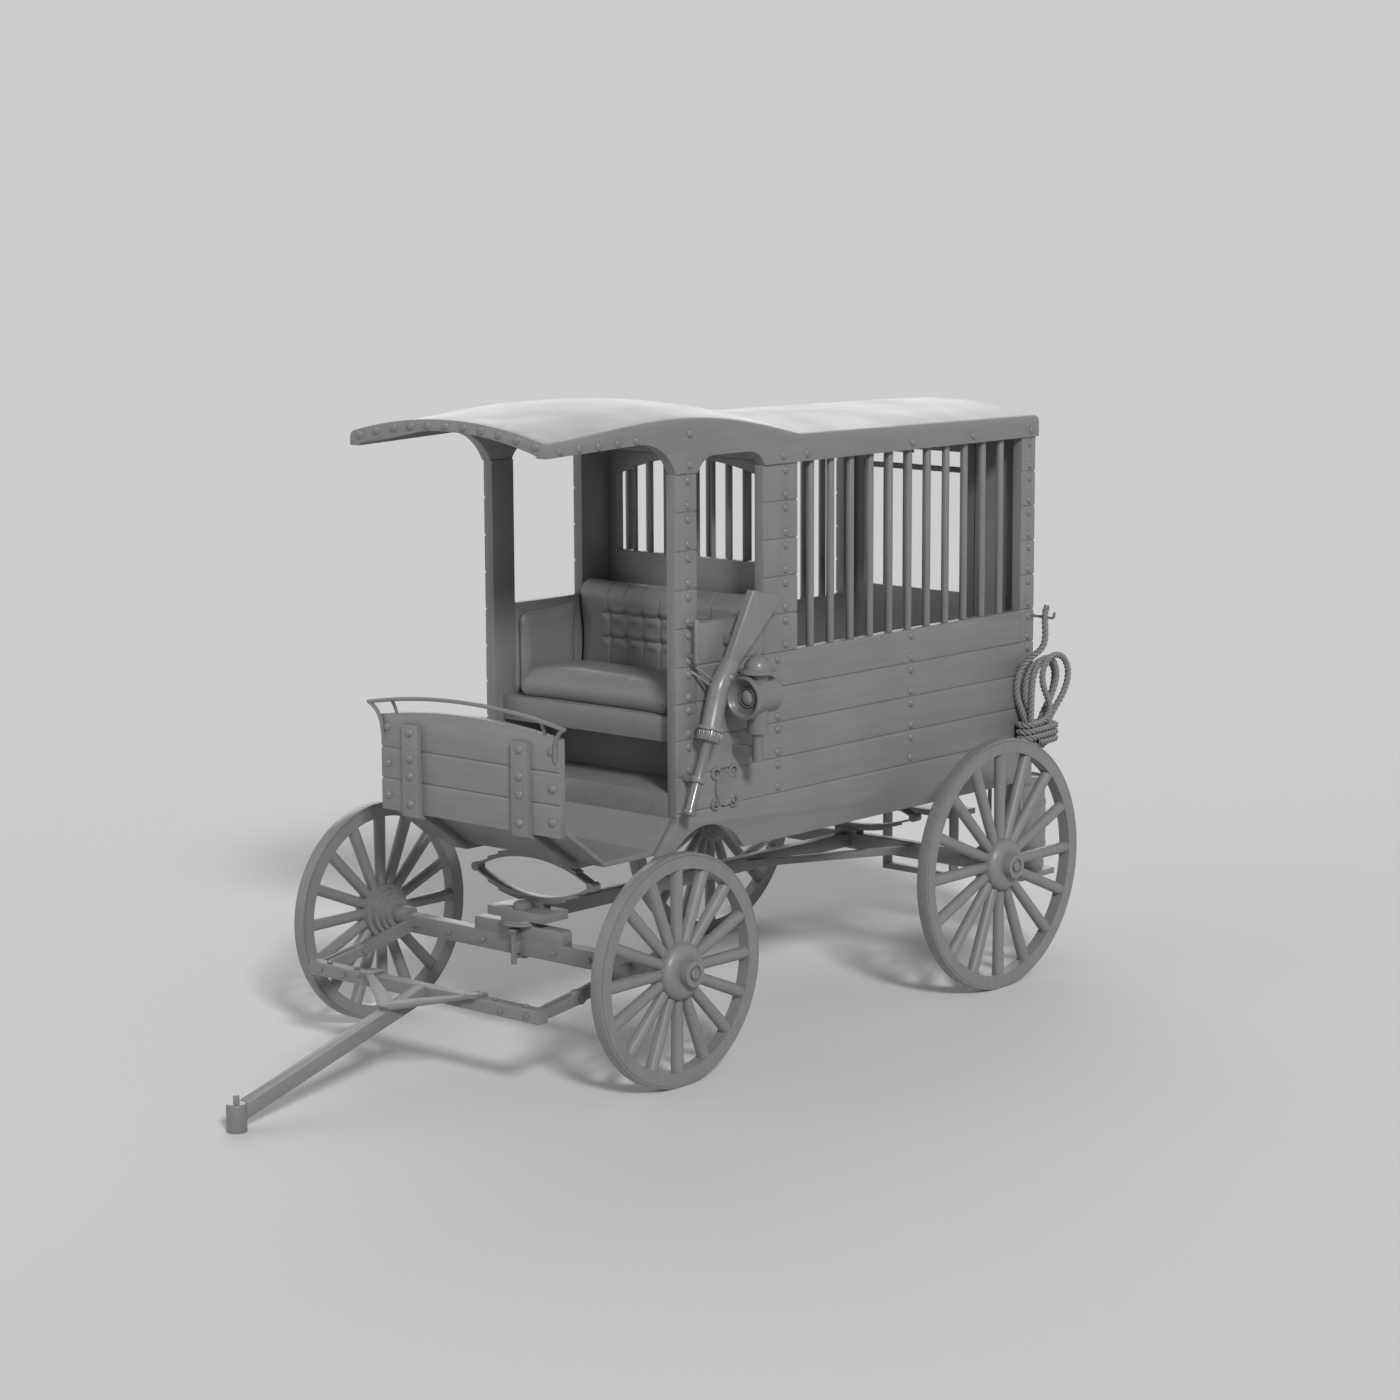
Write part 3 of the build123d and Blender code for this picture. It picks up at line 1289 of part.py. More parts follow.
# Lamps: barrel along the wagon with a reflector cone, chimney above, socket and stem below, arm to the wall
with BuildPart() as lamps:
    for side in (-1, 1):
        lamp_x = side * LAMP_X
        with BuildSketch(cross_plane(LAMP_FRONT)):
            with Locations((lamp_x, LAMP_Z)):
                Circle(LAMP_R)
        extrude(amount=-LAMP_LEN)
        with BuildSketch(cross_plane(LAMP_FRONT)):
            with Locations((lamp_x, LAMP_Z)):
                Circle(LAMP_RING_R)
        extrude(amount=LAMP_RING_T)
        stand_plane = Plane(origin=(lamp_x, LAMP_Y, 0), x_dir=(1, 0, 0), z_dir=(0, -1, 0))
        with BuildSketch(stand_plane):
            with BuildLine():
                bead_top = LAMP_BRIM_Z - LAMP_BEAD_DROP
                bead_low = bead_top - LAMP_BEAD_H
                brim_top = LAMP_BRIM_Z + LAMP_BRIM_T
                dome_low = brim_top + LAMP_BRIM_FALL
                dome_top = dome_low + LAMP_DOME_H
                Polyline(
                    (0, dome_top),
                    (0, LAMP_Z - LAMP_STEM_DROP),
                    (LAMP_STEM_R, LAMP_Z - LAMP_STEM_DROP),
                    (LAMP_STEM_R, LAMP_Z - LAMP_SOCKET_DROP),
                    (LAMP_NECK_R, LAMP_Z - LAMP_SOCKET_DROP),
                    (LAMP_NECK_R, bead_low),
                )
                ThreePointArc(
                    (LAMP_NECK_R, bead_low), (LAMP_BEAD_R, (bead_low + bead_top) / 2), (LAMP_NECK_R, bead_top)
                )
                Polyline(
                    (LAMP_NECK_R, bead_top),
                    (LAMP_NECK_R, LAMP_BRIM_Z - LAMP_BRIM_FALL),
                    (LAMP_BRIM_R, LAMP_BRIM_Z),
                    (LAMP_BRIM_R, brim_top),
                    (LAMP_DOME_R, dome_low),
                )
                cap_x, cap_z = cap_mid(LAMP_DOME_R, LAMP_DOME_H)
                ThreePointArc((LAMP_DOME_R, dome_low), (cap_x, dome_low + cap_z), (0, dome_top))
            make_face()
        revolve(axis=Axis((lamp_x, LAMP_Y, 0), (0, 0, 1)))
        arm_y = LAMP_Y - LAMP_ARM_W / 2
        arm_low = LAMP_Z - LAMP_ARM_DROP - LAMP_ARM_H / 2
        station_box(side * BODY_HALF, lamp_x, arm_y, arm_y + LAMP_ARM_W, arm_low, arm_low + LAMP_ARM_H)
        mouth_plane = Plane(origin=(lamp_x, LAMP_MOUTH, LAMP_Z), x_dir=(1, 0, 0), z_dir=(0, 0, 1))
        with BuildSketch(mouth_plane):
            with BuildLine():
                Polyline(
                    (0, 0),
                    (LAMP_MOUTH_R, 0),
                    (LAMP_SEAT_R, LAMP_CONE_DEEP - LAMP_SEAT_H),
                    (LAMP_LENS_R + FIT_GAP, LAMP_CONE_DEEP - LAMP_SEAT_H),
                    (LAMP_LENS_R + FIT_GAP, LAMP_CONE_DEEP),
                    (0, LAMP_CONE_DEEP),
                    close=True,
                )
            make_face()
        revolve(axis=Axis((lamp_x, 0, LAMP_Z), (0, 1, 0)), mode=Mode.SUBTRACT)
save(lamps.part, "lamps")

# Domed lenses, seated at the foot of the reflector cones
with BuildPart() as lamp_lenses:
    for side in (-1, 1):
        lens_plane = Plane(origin=(side * LAMP_X, LAMP_MOUTH, LAMP_Z), x_dir=(1, 0, 0), z_dir=(0, 0, 1))
        with BuildSketch(lens_plane):
            with BuildLine():
                rim_y = LAMP_CONE_DEEP - LAMP_SEAT_H
                lens_top = (0, rim_y - LAMP_LENS_RISE)
                Polyline(lens_top, (0, LAMP_CONE_DEEP), (LAMP_LENS_R, LAMP_CONE_DEEP), (LAMP_LENS_R, rim_y))
                cap_x, cap_y = cap_mid(LAMP_LENS_R, LAMP_LENS_RISE)
                ThreePointArc((LAMP_LENS_R, rim_y), (cap_x, rim_y - cap_y), lens_top)
            make_face()
        revolve(axis=Axis((side * LAMP_X, 0, LAMP_Z), (0, 1, 0)))
save(lamp_lenses.part, "lamp_lenses")


def gun_point(bend):
    """Place of one bend of the gun on its side plane."""
    return FRONT_AXLE_Y + bend[0], FLOOR_TOP + bend[1]


def gun_plane(start, end, along):
    """Plane square to the run between two bends of the gun, at a distance from the first."""
    run = math.dist(start, end)
    step = ((end[0] - start[0]) / run, (end[1] - start[1]) / run)
    y, z = gun_point((start[0] + along * step[0], start[1] + along * step[1]))
    return Plane(origin=(GUN_X, y, z), x_dir=(1, 0, 0), z_dir=(0, step[0], step[1]))


# Long gun: flat butt with rounded edges, round body bent at the wrist, with a ring at its foot
with BuildPart() as gun_stock:
    butt_mid = ((GUN_BUTT_TOE[0] + GUN_BUTT_HEEL[0]) / 2, (GUN_BUTT_TOE[1] + GUN_BUTT_HEEL[1]) / 2)
    butt_run = math.dist(GUN_WRIST, butt_mid)
    run_s = (butt_mid[0] - GUN_WRIST[0]) / butt_run
    run_z = (butt_mid[1] - GUN_WRIST[1]) / butt_run
    neck_s = GUN_WRIST[0] - GUN_NECK_SINK * run_s
    neck_z = GUN_WRIST[1] - GUN_NECK_SINK * run_z
    with BuildSketch(side_plane(GUN_X)):
        with BuildLine():
            Polyline(
                gun_point((neck_s - GUN_NECK_HALF * run_z, neck_z + GUN_NECK_HALF * run_s)),
                gun_point(GUN_BUTT_TOE),
                gun_point(GUN_BUTT_HEEL),
                gun_point((neck_s + GUN_NECK_HALF * run_z, neck_z - GUN_NECK_HALF * run_s)),
                close=True,
            )
        make_face()
    extrude(amount=GUN_BUTT_T / 2, both=True)
    fillet(gun_stock.edges(), radius=GUN_BUTT_ROUND)
    with BuildLine(side_plane(GUN_X)) as gun_path:
        FilletPolyline(gun_point(GUN_COLLAR), gun_point(GUN_BEND), gun_point(GUN_WRIST), radius=GUN_BEND_R)
    with BuildSketch(gun_plane(GUN_COLLAR, GUN_BEND, 0)):
        Circle(GUN_BODY_R)
    sweep(path=gun_path.line)
    with BuildSketch(gun_plane(GUN_COLLAR, GUN_BEND, 0)):
        Circle(GUN_RING_R)
    extrude(amount=GUN_RING_T)
save(gun_stock.part, "gun_stock")

# Barrel with its fluted collar above and the muzzle ring below
with BuildPart() as gun_barrel:
    barrel_run = math.dist(GUN_COLLAR, GUN_MUZZLE)
    with BuildSketch(gun_plane(GUN_COLLAR, GUN_MUZZLE, -GUN_COLLAR_SINK)):
        Circle(GUN_COLLAR_R)
        with PolarLocations(GUN_COLLAR_R, GUN_FLUTES):
            Circle(GUN_FLUTE_R, mode=Mode.SUBTRACT)
    extrude(amount=GUN_COLLAR_H + GUN_COLLAR_SINK)
    with BuildSketch(gun_plane(GUN_COLLAR, GUN_MUZZLE, 0)):
        Circle(GUN_BARREL_R)
    extrude(amount=barrel_run)
    with BuildSketch(gun_plane(GUN_COLLAR, GUN_MUZZLE, barrel_run - MUZZLE_H)):
        Circle(MUZZLE_R)
    extrude(amount=MUZZLE_H)
    with BuildSketch(gun_plane(GUN_COLLAR, GUN_MUZZLE, barrel_run)):
        Circle(GUN_BORE_R)
    extrude(amount=-GUN_BORE_DEEP, mode=Mode.SUBTRACT)
    add(gun_stock.part, mode=Mode.SUBTRACT)
save(gun_barrel.part, "gun_barrel")

# Gun bracket: a seat behind the butt, twin rods from the post to the bend, and a ring about the barrel
with BuildPart() as gun_bracket:
    seat_y, seat_z = gun_point(BRACKET_SEAT)
    station_box(
        BODY_HALF,
        GUN_X - GUN_BUTT_T / 2,
        seat_y - BRACKET_SEAT_W / 2,
        seat_y + BRACKET_SEAT_W / 2,
        seat_z - BRACKET_SEAT_H / 2,
        seat_z + BRACKET_SEAT_H / 2,
    )
    rod_run = (GUN_STAND, GUN_BEND[0] - BRACKET_POST[0], GUN_BEND[1] - BRACKET_POST[1])
    for level in (-BRACKET_ROD_GAP / 2, BRACKET_ROD_GAP / 2):
        root_y, root_z = gun_point(BRACKET_POST)
        with BuildSketch(Plane(origin=(BODY_HALF, root_y, root_z + level), z_dir=rod_run)):
            Circle(BRACKET_ROD_R)
        extrude(amount=math.hypot(*rod_run))
    with BuildSketch(gun_plane(GUN_COLLAR, GUN_MUZZLE, barrel_run * BRACKET_PLACE)):
        Circle(GUN_BARREL_R + BRACKET_RING_T)
        with Locations((-GUN_STAND / 2, 0)):
            Rectangle(GUN_STAND, BRACKET_ARM_W)
        Circle(GUN_BARREL_R + FIT_GAP, mode=Mode.SUBTRACT)
    extrude(amount=BRACKET_RING_H)
    add(gun_stock.part, mode=Mode.SUBTRACT)
    split(bisect_by=side_plane(BODY_HALF), keep=Keep.TOP)
save(gun_bracket.part, "gun_bracket")

# Hand grips on the front posts
with BuildPart() as hand_grips:
    for side in (-1, 1):
        grip_x = side * (BODY_HALF + GRIP_STAND)
        with BuildSketch(Plane.XY.offset(GRIP_LOW)):
            with Locations((grip_x, GRIP_Y)):
                Circle(GRIP_R)
        extrude(amount=GRIP_TOP - GRIP_LOW)
        for level in (GRIP_LOW + 2 * GRIP_R, GRIP_TOP - 2 * GRIP_R):
            with BuildSketch(side_plane(side * BODY_HALF)):
                with Locations((GRIP_Y, level)):
                    Circle(GRIP_LEG_R)
            extrude(amount=side * GRIP_STAND)
save(hand_grips.part, "hand_grips")

# Rope hank: the outer shape of the looped rope, wider above its binding
with BuildPart() as rope_hank:
    with BuildSketch(side_plane(BODY_HALF)):
        with BuildLine():
            waist_z = HANK_LOW + HANK_H * HANK_WAIST
            Polyline(
                (HANK_Y - HANK_W / 2, waist_z),
                (HANK_Y - HANK_SWING - HANK_FOOT / 2, HANK_LOW),
                (HANK_Y - HANK_SWING + HANK_FOOT / 2, HANK_LOW),
                (HANK_Y + HANK_W / 2, waist_z),
            )
            ThreePointArc(
                (HANK_Y + HANK_W / 2, waist_z), (HANK_Y, HANK_LOW + HANK_H), (HANK_Y - HANK_W / 2, waist_z)
            )
        make_face()
    extrude(amount=HANK_T)
save(rope_hank.part, "rope_hank")

# Standing strand from the hank up past its peg
with BuildPart() as rope_tail:
    strand_low = HANK_LOW + HANK_H - 2 * ROPE_R
    with BuildSketch(Plane.XY.offset(strand_low)):
        with Locations((BODY_HALF + STRAND_OUT, PEG_Y - PEG_R - ROPE_R)):
            Circle(ROPE_R)
    extrude(amount=PEG_Z - strand_low)
    add(rope_hank.part, mode=Mode.SUBTRACT)
save(rope_tail.part, "rope_tail")

# Headed peg that holds the strand
with BuildPart() as rope_peg:
    with BuildSketch(side_plane(BODY_HALF)):
        with Locations((PEG_Y, PEG_Z)):
            Circle(PEG_R)
    extrude(amount=PEG_OUT)
    with BuildSketch(side_plane(BODY_HALF + PEG_OUT)):
        with Locations((PEG_Y, PEG_Z)):
            Circle(PEG_HEAD_R)
    extrude(amount=PEG_R)
save(rope_peg.part, "rope_peg")

# Water keg with hoops, carried by its rack behind the fixed rear panel
with BuildPart() as keg:
    keg_plane = Plane(origin=(KEG_X, KEG_Y, 0), x_dir=(1, 0, 0), z_dir=(0, -1, 0))
    with BuildSketch(keg_plane):
        with BuildLine():
            end_r = KEG_R - KEG_BULGE
            Polyline((end_r, KEG_TOP), (0, KEG_TOP), (0, KEG_LOW), (end_r, KEG_LOW))
            ThreePointArc((end_r, KEG_LOW), (KEG_R, (KEG_LOW + KEG_TOP) / 2), (end_r, KEG_TOP))
        make_face()
    revolve(axis=Axis((KEG_X, KEG_Y, 0), (0, 0, 1)))
    for level in HOOP_LEVELS:
        hoop_r = KEG_R - KEG_BULGE * (2 * level - 1) ** 2 + HOOP_T
        with BuildSketch(Plane.XY.offset(KEG_LOW + level * KEG_H - HOOP_H / 2)):
            with Locations((KEG_X, KEG_Y)):
                Circle(hoop_r)
        extrude(amount=HOOP_H)
save(keg.part, "keg")

# Keg rack: a shelf on two hangers
with BuildPart() as keg_rack:
    shelf_low = KEG_LOW - STEP_T
    station_box(KEG_X - KEG_R, KEG_X + KEG_R, BODY_REAR, KEG_Y + KEG_R, shelf_low, KEG_LOW)
    for side in (-1, 1):
        hanger_in = KEG_X + side * (KEG_R - HANGER_T / 2)
        hanger_out = KEG_X + side * (KEG_R - 3 * HANGER_T / 2)
        station_box(hanger_in, hanger_out, BODY_REAR, BODY_REAR + HANGER_T, shelf_low, SKIRT_Z + RACK_LAP)
save(keg_rack.part, "keg_rack")

# Rear steps on two hangers below the door
with BuildPart() as rear_steps:
    step_rear = BODY_REAR + STEP_D
    for level in STEP_LEVELS:
        station_box(STEP_X - STEP_HALF, STEP_X + STEP_HALF, BODY_REAR, step_rear, level - STEP_T, level)
    step_low = STEP_LEVELS[0] - STEP_T
    for side in (-1, 1):
        hanger_in = STEP_X + side * (STEP_HALF - HANGER_T)
        hanger_out = STEP_X + side * STEP_HALF
        station_box(hanger_in, hanger_out, BODY_REAR, BODY_REAR + HANGER_W, step_low, SKIRT_Z + HANGER_LAP)
save(rear_steps.part, "rear_steps")
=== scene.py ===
"""Jail wagon: finishes, soft goods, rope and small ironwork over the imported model, and the stage."""

from contextlib import contextmanager
import json
import math

import bpy
from mathutils import Matrix, Vector

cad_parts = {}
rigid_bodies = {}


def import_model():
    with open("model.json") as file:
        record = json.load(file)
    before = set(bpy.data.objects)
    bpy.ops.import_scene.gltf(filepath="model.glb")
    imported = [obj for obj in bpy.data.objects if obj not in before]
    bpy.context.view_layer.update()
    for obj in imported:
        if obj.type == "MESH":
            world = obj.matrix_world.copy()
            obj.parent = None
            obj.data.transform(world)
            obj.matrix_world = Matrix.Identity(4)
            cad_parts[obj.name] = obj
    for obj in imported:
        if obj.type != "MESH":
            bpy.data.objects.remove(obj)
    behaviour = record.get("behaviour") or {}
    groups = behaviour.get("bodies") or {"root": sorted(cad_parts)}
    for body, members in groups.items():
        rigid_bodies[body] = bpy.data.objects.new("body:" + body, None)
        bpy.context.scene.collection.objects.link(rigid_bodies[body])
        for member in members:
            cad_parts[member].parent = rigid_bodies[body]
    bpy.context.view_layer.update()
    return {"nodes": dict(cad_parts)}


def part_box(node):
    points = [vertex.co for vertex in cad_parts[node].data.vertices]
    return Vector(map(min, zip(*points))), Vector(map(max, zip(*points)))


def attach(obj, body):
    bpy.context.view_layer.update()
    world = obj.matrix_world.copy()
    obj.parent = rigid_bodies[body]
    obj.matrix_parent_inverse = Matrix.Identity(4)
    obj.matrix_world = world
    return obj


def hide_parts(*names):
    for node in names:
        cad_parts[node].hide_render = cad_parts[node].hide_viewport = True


bl_info = {
    "name": "Jail Wagon",
    "version": (1, 0, 0),
    "blender": (4, 5, 0),
    "location": "3D Viewport > Sidebar > Wagon",
    "description": "Builds the visual pieces of a jail wagon over its packed model",
    "category": "Object",
}

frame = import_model()

# Stations of the body, in metres
PLANK_SEAMS = (1.003, 1.15275, 1.3025, 1.45225, 1.602)
POST_SEAMS = (1.7596, 1.9172, 2.0748, 2.2324)
POST_TOP = 2.39
BODY_HALF = 0.540
FRONT_POST_Y = -0.310
CAB_POST_Y = 0.304
REAR_POST_Y = 2.028
FRONT_AXLE_Y = -0.737
HINGE_Y = -1.067

# Directions of things set on the wagon
UP = (0, 0, 1)
FORWARD = (0, -1, 0)

# Rope: the two layers of its legs, the foot turns, where the legs run straight, the strand's upper end
ROPE_BACK_X = 0.584
ROPE_FRONT_X = 0.612
ROPE_FOOT = (2.029, 1.044)
ROPE_LEGS = 0.070
ROPE_INNER_LEGS = 0.042
ROPE_STRAIGHT_Z = 1.095
ROPE_EXIT = (0.636, 2.0245, 1.572)
BINDING_RADIUS = 0.042
BINDING_TURNS = 3.15
BINDING_TOP = 1.094

# Share of the rope's radius that one strand takes
STRAND_SHARE = 0.45

# Radius and height of a bolt head
BOLT_HEAD = (0.013, 0.009)

# Furrows across the seat back and rows of its tufts
TUFT_SEAMS = [0.0975 * k for k in range(-3, 4)]
TUFT_ROWS = (1.603, 1.708)

# Radius and height pairs of the turned pieces
REFLECTOR = (
    (0.0788, -0.004),
    (0.076, -0.010),
    (0.066, -0.022),
    (0.052, -0.031),
    (0.044, -0.034),
    (0.043, -0.028),
    (0.039, -0.026),
    (0.036, -0.028),
    (0.0355, -0.036),
    (0.0355, -0.046),
)
GLASS = (
    (0.0345, -0.044),
    (0.0345, -0.036),
    (0.033, -0.032),
    (0.027, -0.025),
    (0.016, -0.0205),
    (0.0, -0.019),
)
FINIAL = ((0.012, -0.006), (0.0125, 0.001), (0.008, 0.004), (0.0095, 0.009), (0.006, 0.014), (0.0, 0.0155))
HOOK_ROSE = ((0.02, -0.003), (0.02, 0.003), (0.014, 0.006), (0.0, 0.007))

# Scrolls of the blank plate: offset along and up, starting angle, hand
SCROLLS = (
    (-0.058, 0.060, -0.6, 1),
    (0.058, 0.060, math.pi + 0.6, -1),
    (-0.058, -0.060, 0.6, -1),
    (0.058, -0.060, math.pi - 0.6, 1),
)
SCROLL_TURNS = 1.35
SCROLL_REACH = 0.031
SCROLL_THICK = 0.0065

# How much narrower the keg's ends are than its belly, on the radius
KEG_TAPER = 0.014

# Suns: where each stands, its width in degrees, its strength
SUNS = {
    "key": ((8.0, -5.0, 6.2), 10.0, 2.05),
    "fill": ((-6.0, -8.0, 5.0), 70.0, 0.45),
    "back": ((-7.0, 7.0, 5.0), 50.0, 0.9),
}
AMBIENT = 0.26

# Distances from the middle of the floor between which it fades into the backdrop
FADE = (4.5, 13.0)

# Camera fitted to the photo, with its roll in degrees
CAMERA_PLACE = (9.501, -10.437, 3.622)
CAMERA_TARGET = (-0.9957, 1.5049, 1.0899)
CAMERA_ROLL = -0.234
CAMERA_LENS = 86.81

WOOD_LONG = "wagon_wood_long"
WOOD_UP = "wagon_wood_up"
WOOD_CROSS = "wagon_wood_cross"
IRON = "wagon_iron"
LEATHER = "wagon_leather"
ROPE = "wagon_rope"
LENS = "wagon_lens"
GUN_WOOD = "wagon_gun_wood"
GUN_STEEL = "wagon_gun_steel"

# Finish and edge rounding of each node that keeps its modelled shape
DRESS = {
    "roof": (WOOD_LONG, 0.004),
    "floor": (WOOD_LONG, 0.003),
    "left_wall": (WOOD_LONG, 0.003),
    "right_wall": (WOOD_LONG, 0.003),
    "front_posts": (WOOD_UP, 0.003),
    "cab_posts": (WOOD_UP, 0.003),
    "rear_posts": (WOOD_UP, 0.003),
    "partition": (WOOD_CROSS, 0.003),
    "rear_frame": (WOOD_UP, 0.003),
    "rear_door": (WOOD_UP, 0.003),
    "dash": (WOOD_CROSS, 0.003),
    "footwell": (WOOD_CROSS, 0.003),
    "seat_base": (WOOD_CROSS, 0.003),
    "underframe": (WOOD_LONG, 0.003),
    "transom": (WOOD_CROSS, 0.003),
    "front_bolster": (WOOD_CROSS, 0.003),
    "reach": (WOOD_LONG, 0.004),
    "pole": (WOOD_LONG, 0.004),
    "crossbar": (WOOD_CROSS, 0.003),
    "rear_steps": (WOOD_CROSS, 0.0025),
    "keg_rack": (WOOD_CROSS, 0.0025),
    "front_axle": (IRON, 0.002),
    "rear_axle": (IRON, 0.002),
    "futchells": (IRON, 0.003),
    "draw_hook": (IRON, 0.002),
    "king_pin": (IRON, 0.0015),
    "front_spring": (IRON, 0.0015),
    "rear_spring": (IRON, 0.0015),
    "reach_braces": (IRON, 0.0015),
    "hinge_pins": (IRON, 0.0012),
    "pole_tip": (IRON, 0.002),
    "pole_brace": (IRON, 0.002),
    "cage_bars": (IRON, 0.001),
    "partition_bars": (IRON, 0.001),
    "rear_door_bars": (IRON, 0.001),
    "door_irons": (IRON, 0.0012),
    "dash_straps": (IRON, 0.0015),
    "hand_grips": (IRON, 0.001),
    "lamps": (IRON, 0.0012),
    "gun_bracket": (IRON, 0.0012),
    "gun_stock": (GUN_WOOD, 0.003),
    "gun_barrel": (GUN_STEEL, 0.001),
    "wheel_front_left": (WOOD_UP, 0.0),
    "wheel_front_right": (WOOD_UP, 0.0),
    "wheel_rear_left": (WOOD_UP, 0.0),
    "wheel_rear_right": (WOOD_UP, 0.0),
    "tyre_front_left": (IRON, 0.003),
    "tyre_front_right": (IRON, 0.003),
    "tyre_rear_left": (IRON, 0.003),
    "tyre_rear_right": (IRON, 0.003),
}


class WagonSettings(bpy.types.PropertyGroup):
    rope_diameter: bpy.props.FloatProperty(
        name="Rope diameter", description="Thickness of the hank's rope", default=0.031, unit="LENGTH"
    )
    rope_lay: bpy.props.FloatProperty(
        name="Rope lay", description="Length of one full twist of the strands", default=0.066, unit="LENGTH"
    )
    rope_pitch: bpy.props.FloatProperty(
        name="Binding pitch", description="Height of one binding turn", default=0.0305, unit="LENGTH"
    )
    rivet_radius: bpy.props.FloatProperty(
        name="Rivet radius", description="Radius of a domed rivet head", default=0.0185, unit="LENGTH"
    )
    rivet_rise: bpy.props.FloatProperty(
        name="Rivet rise", description="Height of a domed rivet head", default=0.011, unit="LENGTH"
    )
    wood_colour: bpy.props.FloatVectorProperty(
        name="Wood paint",
        description="Colour of the painted wood",
        subtype="COLOR",
        default=(0.215, 0.215, 0.215),
    )
    iron_colour: bpy.props.FloatVectorProperty(
        name="Iron paint", description="Colour of the painted iron", subtype="COLOR", default=(0.2, 0.2, 0.2)
    )
    leather_colour: bpy.props.FloatVectorProperty(
        name="Leather", description="Colour of the upholstery", subtype="COLOR", default=(0.2, 0.2, 0.2)
    )
    rope_colour: bpy.props.FloatVectorProperty(
        name="Rope", description="Colour of the rope", subtype="COLOR", default=(0.22, 0.22, 0.218)
    )
    lens_colour: bpy.props.FloatVectorProperty(
        name="Lens", description="Colour of the lamp lens", subtype="COLOR", default=(0.26, 0.26, 0.26)
    )
    floor_colour: bpy.props.FloatVectorProperty(
        name="Floor", description="Colour of the studio floor", subtype="COLOR", default=(0.72, 0.72, 0.72)
    )
    backdrop_colour: bpy.props.FloatVectorProperty(
        name="Backdrop", description="Colour behind the wagon", subtype="COLOR", default=(0.61, 0.61, 0.61)
    )


def settings():
    return bpy.context.scene.wagon


def only(obj, *others):
    """Makes these objects the selection, and the first of them the active object."""
    for selected in bpy.context.selected_objects:
        selected.select_set(False)
    for wanted in (obj, *others):
        wanted.select_set(True)
    bpy.context.view_layer.objects.active = obj


@contextmanager
def editing(obj):
    """Edit mode on one object, for the steps inside."""
    only(obj)
    bpy.ops.object.mode_set(mode="EDIT")
    yield
    bpy.ops.object.mode_set(mode="OBJECT")


def linked(name, data):
    """New object in the scene."""
    obj = bpy.data.objects.new(name, data)
    bpy.context.scene.collection.objects.link(obj)
    return obj


def apply_transform(obj):
    """Moves an object's transform into its mesh."""
    only(obj)
    bpy.ops.object.transform_apply(location=True, rotation=True, scale=True)


def modify(obj, kind, **values):
    """Adds one modifier with its values and applies it."""
    only(obj)
    modifier = obj.modifiers.new(kind.lower(), kind)
    for key, value in values.items():
        setattr(modifier, key, value)
    bpy.ops.object.modifier_apply(modifier=modifier.name)


def rounded(obj, width, segments, angle):
    """Rounds the edges that turn by more than an angle in degrees."""
    limit = math.radians(angle)
    modify(obj, "BEVEL", width=width, segments=segments, limit_method="ANGLE", angle_limit=limit)


def joined(name, pieces):
    """Several meshes made one, under a name."""
    only(*pieces)
    bpy.ops.object.join()
    pieces[0].name = name
    return pieces[0]


def facing(place, axis):
    """Matrix that moves the origin to a place and turns up to an axis."""
    turn = Vector(UP).rotation_difference(Vector(axis))
    return Matrix.Translation(place) @ turn.to_matrix().to_4x4()


def body_of(node):
    return frame["nodes"][node].parent.name.split(":", 1)[1]


def merge_doubles():
    """Selects the whole mesh in edit mode and merges the points that lie together."""
    bpy.ops.mesh.select_all(action="SELECT")
    bpy.ops.mesh.remove_doubles(threshold=0.00001)


def settle(obj, body, material, angle=35):
    """Applies the transform, faces the normals outward, smooths, and hands the piece to its body."""
    apply_transform(obj)
    with editing(obj):
        merge_doubles()
        bpy.ops.mesh.normals_make_consistent(inside=False)
    bpy.ops.object.shade_smooth_by_angle(angle=math.radians(angle))
    obj.data.materials.clear()
    obj.data.materials.append(bpy.data.materials[material])
    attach(obj, body)
    return obj


def dressed(node, width):
    """Copy of a node with merged faces and rounded edges, to stand in its place."""
    source = frame["nodes"][node]
    obj = linked(node + "_dressed", source.data.copy())
    obj.matrix_world = source.matrix_world.copy()
    apply_transform(obj)
    with editing(obj):
        bpy.ops.mesh.customdata_custom_splitnormals_clear()
        merge_doubles()
        bpy.ops.mesh.dissolve_limited(angle_limit=math.radians(0.4))
    if width:
        rounded(obj, width, 2, 40)
    return obj


def node_group(name, inputs, outputs):
    """Empty shader group with named sockets."""
    tree = bpy.data.node_groups.new(name, "ShaderNodeTree")
    for label, kind in inputs:
        tree.interface.new_socket(label, in_out="INPUT", socket_type=kind)
    for label, kind in outputs:
        tree.interface.new_socket(label, in_out="OUTPUT", socket_type=kind)
    return tree, tree.nodes.new("NodeGroupInput"), tree.nodes.new("NodeGroupOutput")


def spread(tree, source, low, high):
    """Map Range node that lays a mask over a span of values."""
    node = tree.nodes.new("ShaderNodeMapRange")
    node.inputs["From Min"].default_value = 0.3
    node.inputs["From Max"].default_value = 0.7
    node.inputs["To Min"].default_value = low
    node.inputs["To Max"].default_value = high
    tree.links.new(source, node.inputs["Value"])
    return node.outputs["Result"]


def combine(tree, operation, first, second, kind="ShaderNodeMath"):
    """Output of a math node over two sockets."""
    node = tree.nodes.new(kind)
    node.operation = operation
    tree.links.new(first, node.inputs[0])
    tree.links.new(second, node.inputs[1])
    return node.outputs[0]


